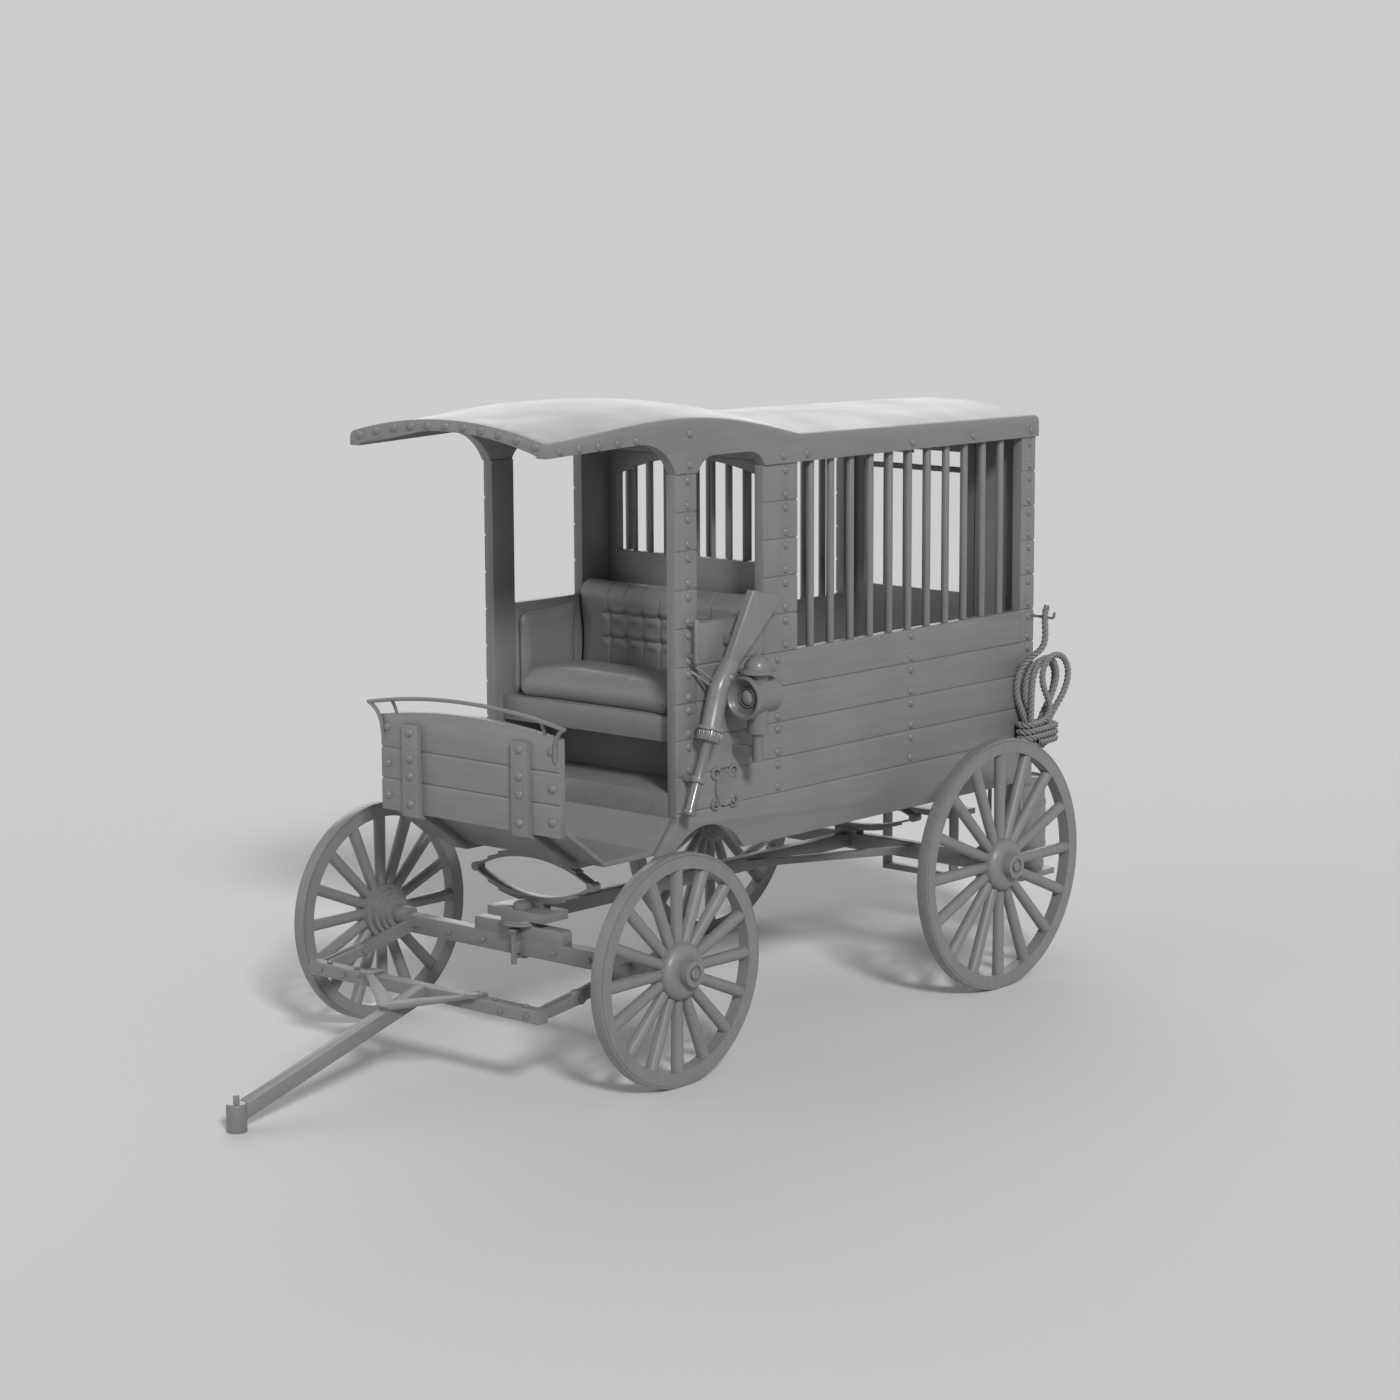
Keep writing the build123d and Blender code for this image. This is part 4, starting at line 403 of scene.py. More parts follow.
def noise(tree, place, scale, detail):
    """Output of a noise texture over a coordinate socket."""
    node = tree.nodes.new("ShaderNodeTexNoise")
    node.inputs["Scale"].default_value = scale
    node.inputs["Detail"].default_value = detail
    tree.links.new(place, node.inputs["Vector"])
    return node.outputs["Fac"]


def blend(tree, mask, first, second, target):
    """Mixes two shaders by a mask and hands the result to an output node."""
    node = tree.nodes.new("ShaderNodeMixShader")
    for k, source in enumerate((mask, first, second)):
        tree.links.new(source, node.inputs[k])
    tree.links.new(node.outputs[0], tree.nodes[target].inputs["Surface"])


SURFACE_IN = (
    ("Colour", "NodeSocketColor"),
    ("Stretch", "NodeSocketVector"),
    ("Roughness", "NodeSocketFloat"),
)
SURFACE_OUT = (
    ("Colour", "NodeSocketColor"),
    ("Roughness", "NodeSocketFloat"),
    ("Height", "NodeSocketFloat"),
)


def surface_group(name, kind):
    """Shared surface: stretched fine pattern for colour and height, broad patches for tone and sheen."""
    tree, entry, leave = node_group(name, SURFACE_IN, SURFACE_OUT)
    place = tree.nodes.new("ShaderNodeTexCoord").outputs["Object"]
    stretched = combine(tree, "MULTIPLY", place, entry.outputs["Stretch"], "ShaderNodeVectorMath")
    fine = noise(tree, stretched, 1.0, 5.0)
    broad = noise(tree, place, 3.5, 3.0)
    height = fine
    if kind == "hide":
        cells = tree.nodes.new("ShaderNodeTexVoronoi")
        cells.feature = "DISTANCE_TO_EDGE"
        cells.inputs["Scale"].default_value = 1.0
        tree.links.new(stretched, cells.inputs["Vector"])
        height = cells.outputs["Distance"]
    patches = combine(tree, "MULTIPLY", spread(tree, fine, 0.94, 1.05), spread(tree, broad, 0.95, 1.05))
    tone = tree.nodes.new("ShaderNodeHueSaturation")
    tree.links.new(entry.outputs["Colour"], tone.inputs["Color"])
    tree.links.new(patches, tone.inputs["Value"])
    sheen = combine(tree, "ADD", entry.outputs["Roughness"], spread(tree, broad, -0.05, 0.07))
    tree.links.new(tone.outputs["Color"], leave.inputs["Colour"])
    tree.links.new(sheen, leave.inputs["Roughness"])
    tree.links.new(height, leave.inputs["Height"])
    return tree


def finish(name, group, colour, stretch, roughness, bump, metallic=0.0):
    """Material that feeds one shared surface group into its shader."""
    material = bpy.data.materials.new(name)
    material.use_nodes = True
    tree = material.node_tree
    shader = tree.nodes["Principled BSDF"]
    surface = tree.nodes.new("ShaderNodeGroup")
    surface.node_tree = group
    surface.inputs["Colour"].default_value = (*colour, 1.0)
    surface.inputs["Stretch"].default_value = stretch
    surface.inputs["Roughness"].default_value = roughness
    relief = tree.nodes.new("ShaderNodeBump")
    relief.inputs["Strength"].default_value = bump
    relief.inputs["Distance"].default_value = 0.001
    shader.inputs["Metallic"].default_value = metallic
    tree.links.new(surface.outputs["Colour"], shader.inputs["Base Color"])
    tree.links.new(surface.outputs["Roughness"], shader.inputs["Roughness"])
    tree.links.new(surface.outputs["Height"], relief.inputs["Height"])
    tree.links.new(relief.outputs["Normal"], shader.inputs["Normal"])


class WAGON_OT_finishes(bpy.types.Operator):
    """Makes the procedural finishes"""

    bl_idname = "wagon.finishes"
    bl_label = "Finishes"

    def execute(self, context):
        tones = settings()
        grain = surface_group("wagon_grain", "grain")
        hide = surface_group("wagon_hide", "hide")
        finish(WOOD_LONG, grain, tones.wood_colour, (45, 3, 45), 0.36, 0.22)
        finish(WOOD_UP, grain, tones.wood_colour, (45, 45, 3), 0.36, 0.22)
        finish(WOOD_CROSS, grain, tones.wood_colour, (3, 45, 45), 0.36, 0.22)
        finish(IRON, grain, tones.iron_colour, (60, 60, 60), 0.31, 0.10)
        finish(LEATHER, hide, tones.leather_colour, (190, 190, 190), 0.38, 0.22)
        finish(ROPE, grain, tones.rope_colour, (380, 380, 160), 0.6, 0.5)
        finish(LENS, grain, tones.lens_colour, (25, 25, 25), 0.16, 0.05)
        finish(GUN_WOOD, grain, tones.wood_colour, (70, 70, 6), 0.33, 0.18)
        finish(GUN_STEEL, grain, tones.iron_colour, (40, 40, 12), 0.28, 0.08, 0.3)
        return {"FINISHED"}


class WAGON_OT_dressing(bpy.types.Operator):
    """Rounds the edges of the modelled nodes and gives them their finishes"""

    bl_idname = "wagon.dressing"
    bl_label = "Dressed nodes"

    def execute(self, context):
        for node, (material, width) in DRESS.items():
            obj = dressed(node, width)
            settle(obj, body_of(node), material)
            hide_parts(node)
        return {"FINISHED"}


def foot_turn(x, radius):
    """Half turn below the foot's centre, from the near leg to the far one."""
    y, z = ROPE_FOOT
    return [
        (x, y - radius * math.cos(math.radians(a)), z - radius * math.sin(math.radians(a)))
        for a in range(0, 181, 15)
    ]


def binding_turns(pitch):
    """Turns about the gathered legs, as a slot shape with round ends."""
    middle = (ROPE_BACK_X + ROPE_FRONT_X) / 2
    loop = []
    for side in (1, -1):
        for k in (-0.5, 0.0, 0.5):
            loop.append((middle + side * BINDING_RADIUS, ROPE_FOOT[0] - side * ROPE_LEGS * k))
        for a in range(0, 181, 20):
            x = middle + side * BINDING_RADIUS * math.cos(math.radians(a))
            y = ROPE_FOOT[0] - side * (ROPE_LEGS + BINDING_RADIUS * math.sin(math.radians(a)))
            loop.append((x, y))
    spots = []
    for k in range(2, int(BINDING_TURNS * len(loop))):
        x, y = loop[k % len(loop)]
        spots.append((x, y, BINDING_TOP - pitch * k / len(loop)))
    return spots


def rope_route(pitch):
    """Control points of the hank: the strand from the hook, the turns, and the binding at the foot."""
    near, far = ROPE_FOOT[0] - ROPE_LEGS, ROPE_FOOT[0] + ROPE_LEGS
    inner_near, inner_far = ROPE_FOOT[0] - ROPE_INNER_LEGS, ROPE_FOOT[0] + ROPE_INNER_LEGS
    up = ROPE_STRAIGHT_Z
    back, front = ROPE_BACK_X, ROPE_FRONT_X
    points = [ROPE_EXIT, (0.636, 2.027, 1.530), (0.636, 2.031, 1.490), (0.634, 2.027, 1.455)]
    points += [(0.626, 2.011, 1.424), (0.602, 1.985, 1.398), (0.574, 1.961, 1.364), (0.559, 1.942, 1.325)]
    points += [(0.556, 1.929, 1.290), (0.556, 1.923, 1.240), (0.561, 1.930, 1.190), (0.574, 1.946, 1.140)]
    points += [(back, near, up)] + foot_turn(back, ROPE_LEGS) + [(back, far, up)]
    points += [(0.581, 2.129, 1.140), (0.577, 2.171, 1.210), (0.577, 2.191, 1.270), (0.580, 2.181, 1.318)]
    points += [(0.583, 2.139, 1.357), (0.586, 2.079, 1.370), (0.586, 2.014, 1.352), (0.585, 1.970, 1.312)]
    points += [(0.584, 1.952, 1.262), (0.584, 1.953, 1.200), (0.584, 1.977, 1.140), (back, inner_near, up)]
    points += foot_turn(back, ROPE_INNER_LEGS) + [(back, inner_far, up)]
    points += [(0.589, 2.099, 1.140), (0.601, 2.141, 1.210), (0.607, 2.162, 1.270), (0.610, 2.156, 1.322)]
    points += [(0.612, 2.124, 1.366), (0.614, 2.074, 1.384), (0.614, 2.019, 1.368), (0.613, 1.981, 1.325)]
    points += [(0.612, 1.966, 1.270), (0.612, 1.962, 1.200), (0.612, 1.960, 1.140), (front, near, up)]
    points += foot_turn(front, ROPE_LEGS) + [(front, far, up)]
    points += [(0.620, 2.133, 1.140), (0.635, 2.183, 1.210), (0.640, 2.209, 1.275), (0.642, 2.201, 1.335)]
    points += [(0.642, 2.159, 1.382), (0.642, 2.099, 1.397), (0.642, 2.041, 1.377), (0.642, 2.006, 1.336)]
    points += [(0.642, 2.001, 1.290), (0.642, 2.019, 1.240), (0.642, 2.051, 1.195), (0.642, 2.065, 1.150)]
    points += [(0.641, 2.047, 1.110)]
    return points + binding_turns(pitch)


def spline_curve(name, points, kind):
    """Open curve object with these control points."""
    data = bpy.data.curves.new(name, "CURVE")
    data.dimensions = "3D"
    spline = data.splines.new(kind)
    spline.points.add(len(points) - 1)
    for spot, place in zip(spline.points, points):
        spot.co = (*place, 1.0)
    if kind == "NURBS":
        spline.order_u = 3
        spline.use_endpoint_u = True
        spline.resolution_u = 12
    return linked(name, data)


def rod(name, points, thick, kind="NURBS", fineness=3):
    """Round bar along a curve with these control points, as a mesh."""
    bar = spline_curve(name, points, kind)
    bar.data.bevel_depth = thick
    bar.data.bevel_resolution = fineness
    bar.data.use_fill_caps = True
    only(bar)
    bpy.ops.object.convert(target="MESH")
    return bpy.context.view_layer.objects.active


def centre_line(points):
    """Places along the spline with these control points."""
    guide = spline_curve("rope_guide", points, "NURBS")
    bpy.context.view_layer.update()
    mesh = bpy.data.meshes.new_from_object(guide.evaluated_get(bpy.context.evaluated_depsgraph_get()))
    line = [vertex.co.copy() for vertex in mesh.vertices]
    bpy.data.objects.remove(guide)
    bpy.data.meshes.remove(mesh)
    return line


def strands(name, line, diameter, lay):
    """Three strands twisted about a line, joined as one mesh, and the line's length."""
    tangents = []
    for i in range(len(line)):
        tangents.append((line[min(i + 1, len(line) - 1)] - line[max(i - 1, 0)]).normalized())
    side = tangents[0].orthogonal().normalized()
    frames = []
    for tangent in tangents:
        side = (side - tangent * side.dot(tangent)).normalized()
        frames.append((side.copy(), tangent.cross(side)))
    run = [0.0]
    for a, b in zip(line, line[1:]):
        run.append(run[-1] + (b - a).length)
    thick = diameter / 2 * STRAND_SHARE
    offset = diameter / 2 - thick
    made = []
    for k in range(3):
        path = []
        for place, (u, v), s in zip(line, frames, run):
            turn = 2 * math.pi * (s / lay + k / 3)
            path.append(place + (u * math.cos(turn) + v * math.sin(turn)) * offset)
        made.append(rod(f"{name}_{k}", path, thick, "POLY", 2))
    return joined(name, made), run[-1]


class WAGON_OT_rope(bpy.types.Operator):
    """Lays the rope hank, its strand to the hook and its bare end"""

    bl_idname = "wagon.rope"
    bl_label = "Rope hank"

    def execute(self, context):
        sizes = settings()
        line = centre_line(rope_route(sizes.rope_pitch))
        rope, length = strands("rope_cord", line, sizes.rope_diameter, sizes.rope_lay)
        settle(rope, "carriage", ROPE, angle=60)
        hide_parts("rope_hank", "rope_tail")
        end_points = [ROPE_EXIT, (0.636, 2.026, 1.590), (0.637, 2.030, 1.606), (0.639, 2.040, 1.624)]
        end_line = centre_line(end_points)
        bare_end, _ = strands("rope_bare_end", end_line, sizes.rope_diameter, sizes.rope_lay)
        settle(bare_end, "carriage", ROPE, angle=60)
        return {"FINISHED"}


def pick_faces(obj, wanted):
    """Selects the faces that are wanted, and nothing else, for the next edit."""
    for part in (obj.data.vertices, obj.data.edges):
        part.foreach_set("select", [False] * len(part))
    for polygon in obj.data.polygons:
        polygon.select = wanted(polygon)
    bpy.context.tool_settings.mesh_select_mode = (False, False, True)


def turned(name, profile, place, axis, steps=40):
    """Solid of revolution from radius and height pairs, set at a place along an axis."""
    mesh = bpy.data.meshes.new(name)
    edges = [(k, k + 1) for k in range(len(profile) - 1)]
    mesh.from_pydata([(radius, 0.0, height) for radius, height in profile], edges, [])
    obj = linked(name, mesh)
    modify(
        obj,
        "SCREW",
        steps=steps,
        render_steps=steps,
        axis="Z",
        use_merge_vertices=True,
        merge_threshold=0.0001,
    )
    obj.data.transform(facing(place, axis))
    return obj


def cylinder(vertices, radius, depth, place, ends="NGON"):
    """Upright cylinder about a place."""
    bpy.ops.object.select_all(action="DESELECT")
    bpy.ops.mesh.primitive_cylinder_add(
        vertices=vertices, radius=radius, depth=depth, end_fill_type=ends, location=place
    )
    obj = bpy.context.view_layer.objects.active
    apply_transform(obj)
    return obj


def dome(radius, rise):
    """Domed head on the origin, facing up: the upper half of a ball, flattened."""
    bpy.ops.object.select_all(action="DESELECT")
    bpy.ops.mesh.primitive_uv_sphere_add(segments=12, ring_count=8, radius=radius)
    obj = bpy.context.view_layer.objects.active
    with editing(obj):
        bpy.ops.mesh.select_all(action="SELECT")
        bpy.ops.mesh.bisect(plane_co=(0, 0, 0), plane_no=UP, use_fill=False, clear_inner=True)
        bpy.ops.mesh.select_all(action="SELECT")
        bpy.ops.transform.resize(value=(1, 1, rise / radius), center_override=(0, 0, 0))
    return obj


def hexagon(radius, rise):
    """Hexagonal head on the origin, facing up, with chamfered edges."""
    obj = cylinder(6, radius, rise, (0, 0, rise / 2))
    rounded(obj, radius * 0.12, 1, 30)
    return obj


def scatter(name, master, places, body, material):
    """Copies of a small master at places with outward directions, joined as one piece."""
    made = []
    for place, axis in places:
        copy = linked(name, master.data.copy())
        copy.data.transform(facing(place, axis))
        made.append(copy)
    bpy.data.objects.remove(master)
    return settle(joined(name, made), body, material)


def pairs(levels, reach):
    """Levels just below and above each seam."""
    return [level + side * reach for level in levels for side in (-1, 1)]


class WAGON_OT_rivets(bpy.types.Operator):
    """Sets domed rivets on posts, planks, roof, dash, straps and gun"""

    bl_idname = "wagon.rivets"
    bl_label = "Rivets"

    def execute(self, context):
        sizes = settings()
        post_levels = pairs(POST_SEAMS, 0.028) + [POST_TOP - 0.03, PLANK_SEAMS[-1] + 0.028]
        plank_levels = pairs(PLANK_SEAMS[1:-1], 0.027) + [PLANK_SEAMS[0] + 0.03, PLANK_SEAMS[-1] - 0.03]
        columns = (
            (FRONT_POST_Y, post_levels + plank_levels),
            (REAR_POST_Y, post_levels + plank_levels),
            (CAB_POST_Y, post_levels),
            (0.252, plank_levels),
            (1.160, plank_levels),
        )
        # How far out of the wall's face, along and up, on each side
        side_rivets = [(0.0, y, z) for y, levels in columns for z in levels]
        side_rivets += [(0.0098, y, POST_TOP + 0.032) for y in (0.278, 0.430, 1.150, 1.590, REAR_POST_Y)]
        side_rivets += [(0.0078, -0.305, POST_TOP + rise) for rise in (0.034, 0.16)]
        side_rivets += [(0.0068, -1.06 + 0.11 * k, POST_TOP + 0.137 + 0.003 * k) for k in range(5)]
        places = []
        for side in (-1, 1):
            places += [((side * (BODY_HALF + proud), y, z), (side, 0, 0)) for proud, y, z in side_rivets]
        for k in range(-5, 6):
            x = 0.098 * k
            arch = 0.072 * (1 - (x / 0.548) ** 2)
            places.append(((x, FRONT_AXLE_Y - 0.4, POST_TOP + 0.143 + arch), FORWARD))
        for node, across, levels in (
            ("dash_straps", 0.310, (1.045, 1.160, 1.232, 1.340)),
            ("dash", 0.466, (1.062, 1.195, 1.345)),
        ):
            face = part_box(node)[0][1]
            places += [((side * across, face, z), FORWARD) for side in (-1, 1) for z in levels]
        scatter("body_rivets", dome(sizes.rivet_radius, sizes.rivet_rise), places, "carriage", IRON)
        gun_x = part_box("gun_stock")[1][0]
        gun_places = [((gun_x - 0.016, -0.178, 1.556), (1, 0, 0))]
        scatter("gun_rivet", dome(0.019, 0.011), gun_places, "carriage", GUN_STEEL)
        return {"FINISHED"}


class WAGON_OT_bolts(bpy.types.Operator):
    """Sets bolt heads on the running gear and nuts in the hubs"""

    bl_idname = "wagon.bolts"
    bl_label = "Bolts"

    def execute(self, context):
        beam_y = FRONT_AXLE_Y - 0.030
        gear = [((x, beam_y, 0.4475), FORWARD) for x in (-0.6, -0.4, -0.2, 0.2, 0.4, 0.6)]
        scatter("front_gear_bolts", hexagon(*BOLT_HEAD), gear, "front_gear", IRON)
        bar_y = HINGE_Y - 0.230
        bar = [((x, bar_y - 0.0275, 0.3575), FORWARD) for x in (-0.59, -0.45, 0.45, 0.59)]
        bar += [((x, bar_y, 0.385), UP) for x in (-0.56, -0.4, 0.4, 0.56)]
        scatter("drawbar_bolts", hexagon(*BOLT_HEAD), bar, "drawbar", IRON)
        sills = [((side * 0.33, 0.1 + 0.4 * k, 0.913), (side, 0, 0)) for k in range(5) for side in (-1, 1)]
        scatter("underframe_bolts", hexagon(*BOLT_HEAD), sills, "carriage", IRON)
        for name in ("front_left", "front_right", "rear_left", "rear_right"):
            low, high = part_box("wheel_" + name)
            side = 1 if name.endswith("left") else -1
            tip = high[0] if side > 0 else low[0]
            middle = ((low[1] + high[1]) / 2, (low[2] + high[2]) / 2)
            nut = [((tip - side * 0.0085, *middle), (side, 0, 0))]
            scatter("hub_nut_" + name, hexagon(0.024, 0.012), nut, name + "_wheel", IRON)
        return {"FINISHED"}


def block(name, outline, low, high):
    """Closed solid of an outline in depth and height, drawn out across the wagon."""
    count = len(outline)
    mesh = bpy.data.meshes.new(name)
    corners = [(x, y, z) for x in (low, high) for y, z in outline]
    faces = [list(range(count)), list(range(2 * count - 1, count - 1, -1))]
    faces += [[k, k + count, (k + 1) % count + count, (k + 1) % count] for k in range(count)]
    mesh.from_pydata(corners, [], faces)
    return linked(name, mesh)


def stuffed(obj, voxel, room, low, high):
    """Remeshes a pad and fills it out by a short cloth run, kept within its room."""
    modify(obj, "REMESH", mode="VOXEL", voxel_size=voxel)
    modify(obj, "SMOOTH", factor=0.5, iterations=2)
    rest = [vertex.co.copy() for vertex in obj.data.vertices]
    only(obj)
    cloth = obj.modifiers.new("cloth", "CLOTH")
    cloth.settings.quality = 3
    cloth.settings.mass = 0.3
    cloth.settings.tension_stiffness = 20
    cloth.settings.compression_stiffness = 20
    cloth.settings.bending_stiffness = 2
    cloth.settings.use_pressure = True
    cloth.settings.uniform_pressure_force = 4.0
    cloth.settings.effector_weights.gravity = 0.0
    cloth.point_cache.frame_start = 1
    cloth.point_cache.frame_end = 20
    for number in range(1, 21):
        bpy.context.scene.frame_set(number)
    bpy.ops.object.modifier_apply(modifier=cloth.name)
    bpy.context.scene.frame_set(1)
    for vertex, start in zip(obj.data.vertices, rest):
        move = vertex.co - start
        if move.length > room:
            move *= room / move.length
        spot = start + move
        vertex.co = [min(max(spot[k], low[k]), high[k]) for k in range(3)]
    modify(obj, "SMOOTH", factor=0.5, iterations=2)


def furrow(distance, width):
    return math.exp(-((distance / width) ** 2))


def cushion():
    """Seat cushion with a rounded front and a crowned top."""
    low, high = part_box("seat_cushion")
    front, rear = low[1] + 0.010, high[1]
    bottom, top = low[2] + 0.001, high[2] - 0.012
    half, reach = 0.446, 0.456
    outline = [
        (rear, bottom),
        (rear, top),
        (front + 0.05, top + 0.004),
        (front + 0.018, top - 0.012),
        (front, top - 0.04),
        (front + 0.008, bottom + 0.012),
        (front + 0.02, bottom),
    ]
    pad = block("seat_cushion_pad", outline, -half, half)
    rounded(pad, 0.022, 4, 50)
    stuffed(pad, 0.0145, 0.024, (-reach, low[1] - 0.006, low[2]), (reach, high[1], high[2] + 0.022))
    for vertex in pad.data.vertices:
        side = abs(vertex.co.x) / reach
        depth = abs(2 * (vertex.co.y - low[1]) / (high[1] - low[1]) - 1)
        lift = max(0.0, 1 - side**4) * max(0.0, 1 - depth**3)
        if vertex.co.z > bottom + 0.02:
            vertex.co.z += 0.016 * lift * (vertex.co.z - bottom) / (top - bottom)
    modify(pad, "SUBSURF", levels=2)
    settle(pad, "carriage", LEATHER, angle=60)
    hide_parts("seat_cushion")


def arm_pads():
    """Padded panels inside both arms, down to the seat box."""
    low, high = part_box("arm_panels")
    front, rear = low[1], high[1] + 0.004
    bottom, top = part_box("seat_cushion")[0][2] + 0.002, high[2]
    outline = [
        (front, bottom),
        (rear, bottom),
        (rear, top - 0.004),
        (front + 0.02, top - 0.022),
        (front, top - 0.05),
    ]
    panels = []
    for inner, outer in ((-0.488, -0.462), (0.462, 0.488)):
        panel = block("arm_pads", outline, inner, outer)
        rounded(panel, 0.009, 3, 40)
        panels.append(panel)
    arms = joined("arm_pads", panels)
    stuffed(arms, 0.010, 0.010, (-0.4895, front - 0.002, bottom), (0.4895, rear, top))
    modify(arms, "SUBSURF", levels=1)
    settle(arms, "carriage", LEATHER, angle=60)
    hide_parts("arm_panels")


def press_tufts(back):
    """Sinks furrows and tufts into the pad and swells the leather between them."""
    normals = [vertex.normal.copy() for vertex in back.data.vertices]
    for vertex, normal in zip(back.data.vertices, normals):
        front = max(0.0, -normal.y)
        x, _, z = vertex.co
        near = min(abs(x - seam) for seam in TUFT_SEAMS)
        row = min(abs(z - level) for level in TUFT_ROWS)
        sink = 0.0045 * furrow(near, 0.005) * max(front, normal.z)
        if abs(x) < 0.33:
            sink += 0.0045 * furrow(row, 0.006) * front
            sink -= 0.004 * furrow(row - 0.022, 0.012) * furrow(near - 0.045, 0.025) * front
        sink += 0.013 * furrow(math.hypot(near, row), 0.016) * front
        vertex.co -= normal * sink


def tufted_back():
    """Rolled seat back with its tufts and buttons."""
    low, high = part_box("seat_back")
    front, rear = low[1], high[1] - 0.002
    bottom, top = low[2] + 0.001, high[2]
    outline = [
        (rear, bottom),
        (rear, top - 0.07),
        (rear - 0.012, top - 0.03),
        (rear - 0.04, top - 0.008),
        (rear - 0.062, top - 0.004),
        (front + 0.032, top - 0.016),
        (front + 0.012, top - 0.04),
        (front + 0.005, top - 0.07),
        (front + 0.008, top - 0.11),
        (front + 0.017, top - 0.16),
        (front + 0.022, top - 0.25),
        (front + 0.016, bottom + 0.05),
        (front + 0.020, bottom),
    ]
    back = block("seat_back_pad", outline, low[0] + 0.008, high[0] - 0.008)
    rounded(back, 0.012, 3, 60)
    stuffed(back, 0.014, 0.012, (low[0], front - 0.004, low[2]), (high[0], high[1], high[2] + 0.006))
    modify(back, "SUBSURF", levels=2)
    press_tufts(back)
    modify(back, "SMOOTH", factor=0.3, iterations=1)
    buttons = []
    for seam in TUFT_SEAMS:
        for level in TUFT_ROWS:
            hit, place, normal, _ = back.ray_cast((seam, -0.4, level), (0, 1, 0))
            if not hit:
                raise RuntimeError("a button found no seat back")
            buttons.append((place - normal * 0.001, normal))
    settle(back, "carriage", LEATHER, angle=60)
    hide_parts("seat_back")
    scatter("seat_buttons", dome(0.0105, 0.007), buttons, "carriage", LEATHER)


class WAGON_OT_seat(bpy.types.Operator):
    """Upholsters the cushion, the arm panels and the tufted back"""

    bl_idname = "wagon.seat"
    bl_label = "Seat"

    def execute(self, context):
        cushion()
        arm_pads()
        tufted_back()
        return {"FINISHED"}


class WAGON_OT_rail(bpy.types.Operator):
    """Bends the dash rail over the dash, with its end irons and stays"""

    bl_idname = "wagon.rail"
    bl_label = "Dash rail"

    def execute(self, context):
        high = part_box("dash_rail")[1]
        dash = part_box("dash")
        face = dash[0][1]
        y = face - 0.012
        reach = high[0] - 0.006
        end_z = high[2] - 0.058
        arch = 0.052
        top = [(reach * k / 5, y - 0.008, end_z + arch * (1 - (k / 5) ** 2)) for k in range(-5, 6)]
        pieces = [rod("dash_rail_bar", top, 0.0085)]
        foot = dash[1][0] - 0.016
        stay = dash[1][0] - 0.084
        stay_top = end_z + arch * (1 - (stay / reach) ** 2)
        for side in (-1, 1):
            iron = [
                (side * foot, face + 0.002, 1.300),
                (side * foot, face - 0.006, 1.330),
                (side * (foot + 0.004), y + 0.004, 1.375),
                (side * (foot + 0.03), y - 0.004, 1.425),
                (side * (reach - 0.006), y - 0.008, end_z),
            ]
            pieces.append(rod("dash_rail_iron", iron, 0.0085))
            line = [
                (side * stay, face + 0.012, 1.40),
                (side * stay, face + 0.006, 1.43),
                (side * stay, y - 0.006, stay_top),
            ]
            pieces.append(rod("dash_rail_stay", line, 0.007))
        rail = joined("dash_rail_bent", pieces)
        settle(rail, "carriage", IRON)
        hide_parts("dash_rail")
        return {"FINISHED"}


class WAGON_OT_lamps(bpy.types.Operator):
    """Sets the dished reflectors, the lenses and the finials of the lamps"""

    bl_idname = "wagon.lamps"
    bl_label = "Lamps"

    def execute(self, context):
        low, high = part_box("lamps")
        dishes = []
        lenses = []
        finials = []
        for side in (-1, 1):
            x = side * (high[0] - 0.090)
            mouth = (x, low[1], 1.465)
            dishes.append(turned("reflector", REFLECTOR, mouth, FORWARD))
            lenses.append(turned("lens", GLASS, mouth, FORWARD))
            finials.append(turned("finial", FINIAL, (x, low[1] + 0.097, high[2] - 0.001), UP, 20))
        settle(joined("lamp_reflectors", dishes), "carriage", GUN_STEEL)
        lens = settle(joined("lamp_glasses", lenses), "carriage", LENS)
        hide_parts("lamp_lenses")
        settle(joined("lamp_finials", finials), "carriage", IRON)
        return {"FINISHED"}


class WAGON_OT_hook(bpy.types.Operator):
    """Bends the slim hook that holds the rope's strand"""

    bl_idname = "wagon.hook"
    bl_label = "Rope hook"

    def execute(self, context):
        low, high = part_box("rope_peg")
        y, z = (low[1] + high[1]) / 2, (low[2] + high[2]) / 2
        line = [
            (low[0] - 0.004, y, z),
            (low[0] + 0.05, y, z),
            (high[0] - 0.022, y, z - 0.003),
            (high[0] - 0.004, y - 0.001, z - 0.001),
            (high[0] - 0.002, y - 0.002, z + 0.026),
        ]
        bar = rod("rope_hook", line, 0.0065)
        rose = turned("rope_hook_rose", HOOK_ROSE, (low[0], y, z), (1, 0, 0), 24)
        hook = joined("rope_hook", [bar, rose])
        settle(hook, "carriage", IRON)
        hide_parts("rope_peg")
        return {"FINISHED"}


def curl(centre, start, hand):
    """Round bar coiled into a scroll that tightens towards its middle."""
    steps = 36
    points = []
    for k in range(steps + 1):
        t = k / steps
        turn = start + hand * 2 * math.pi * SCROLL_TURNS * t
        radius = SCROLL_REACH * (1 - 0.8 * t)
        points.append((centre[0], centre[1] + radius * math.cos(turn), centre[2] + radius * math.sin(turn)))
    return rod("scroll", points, SCROLL_THICK, "POLY", 2)


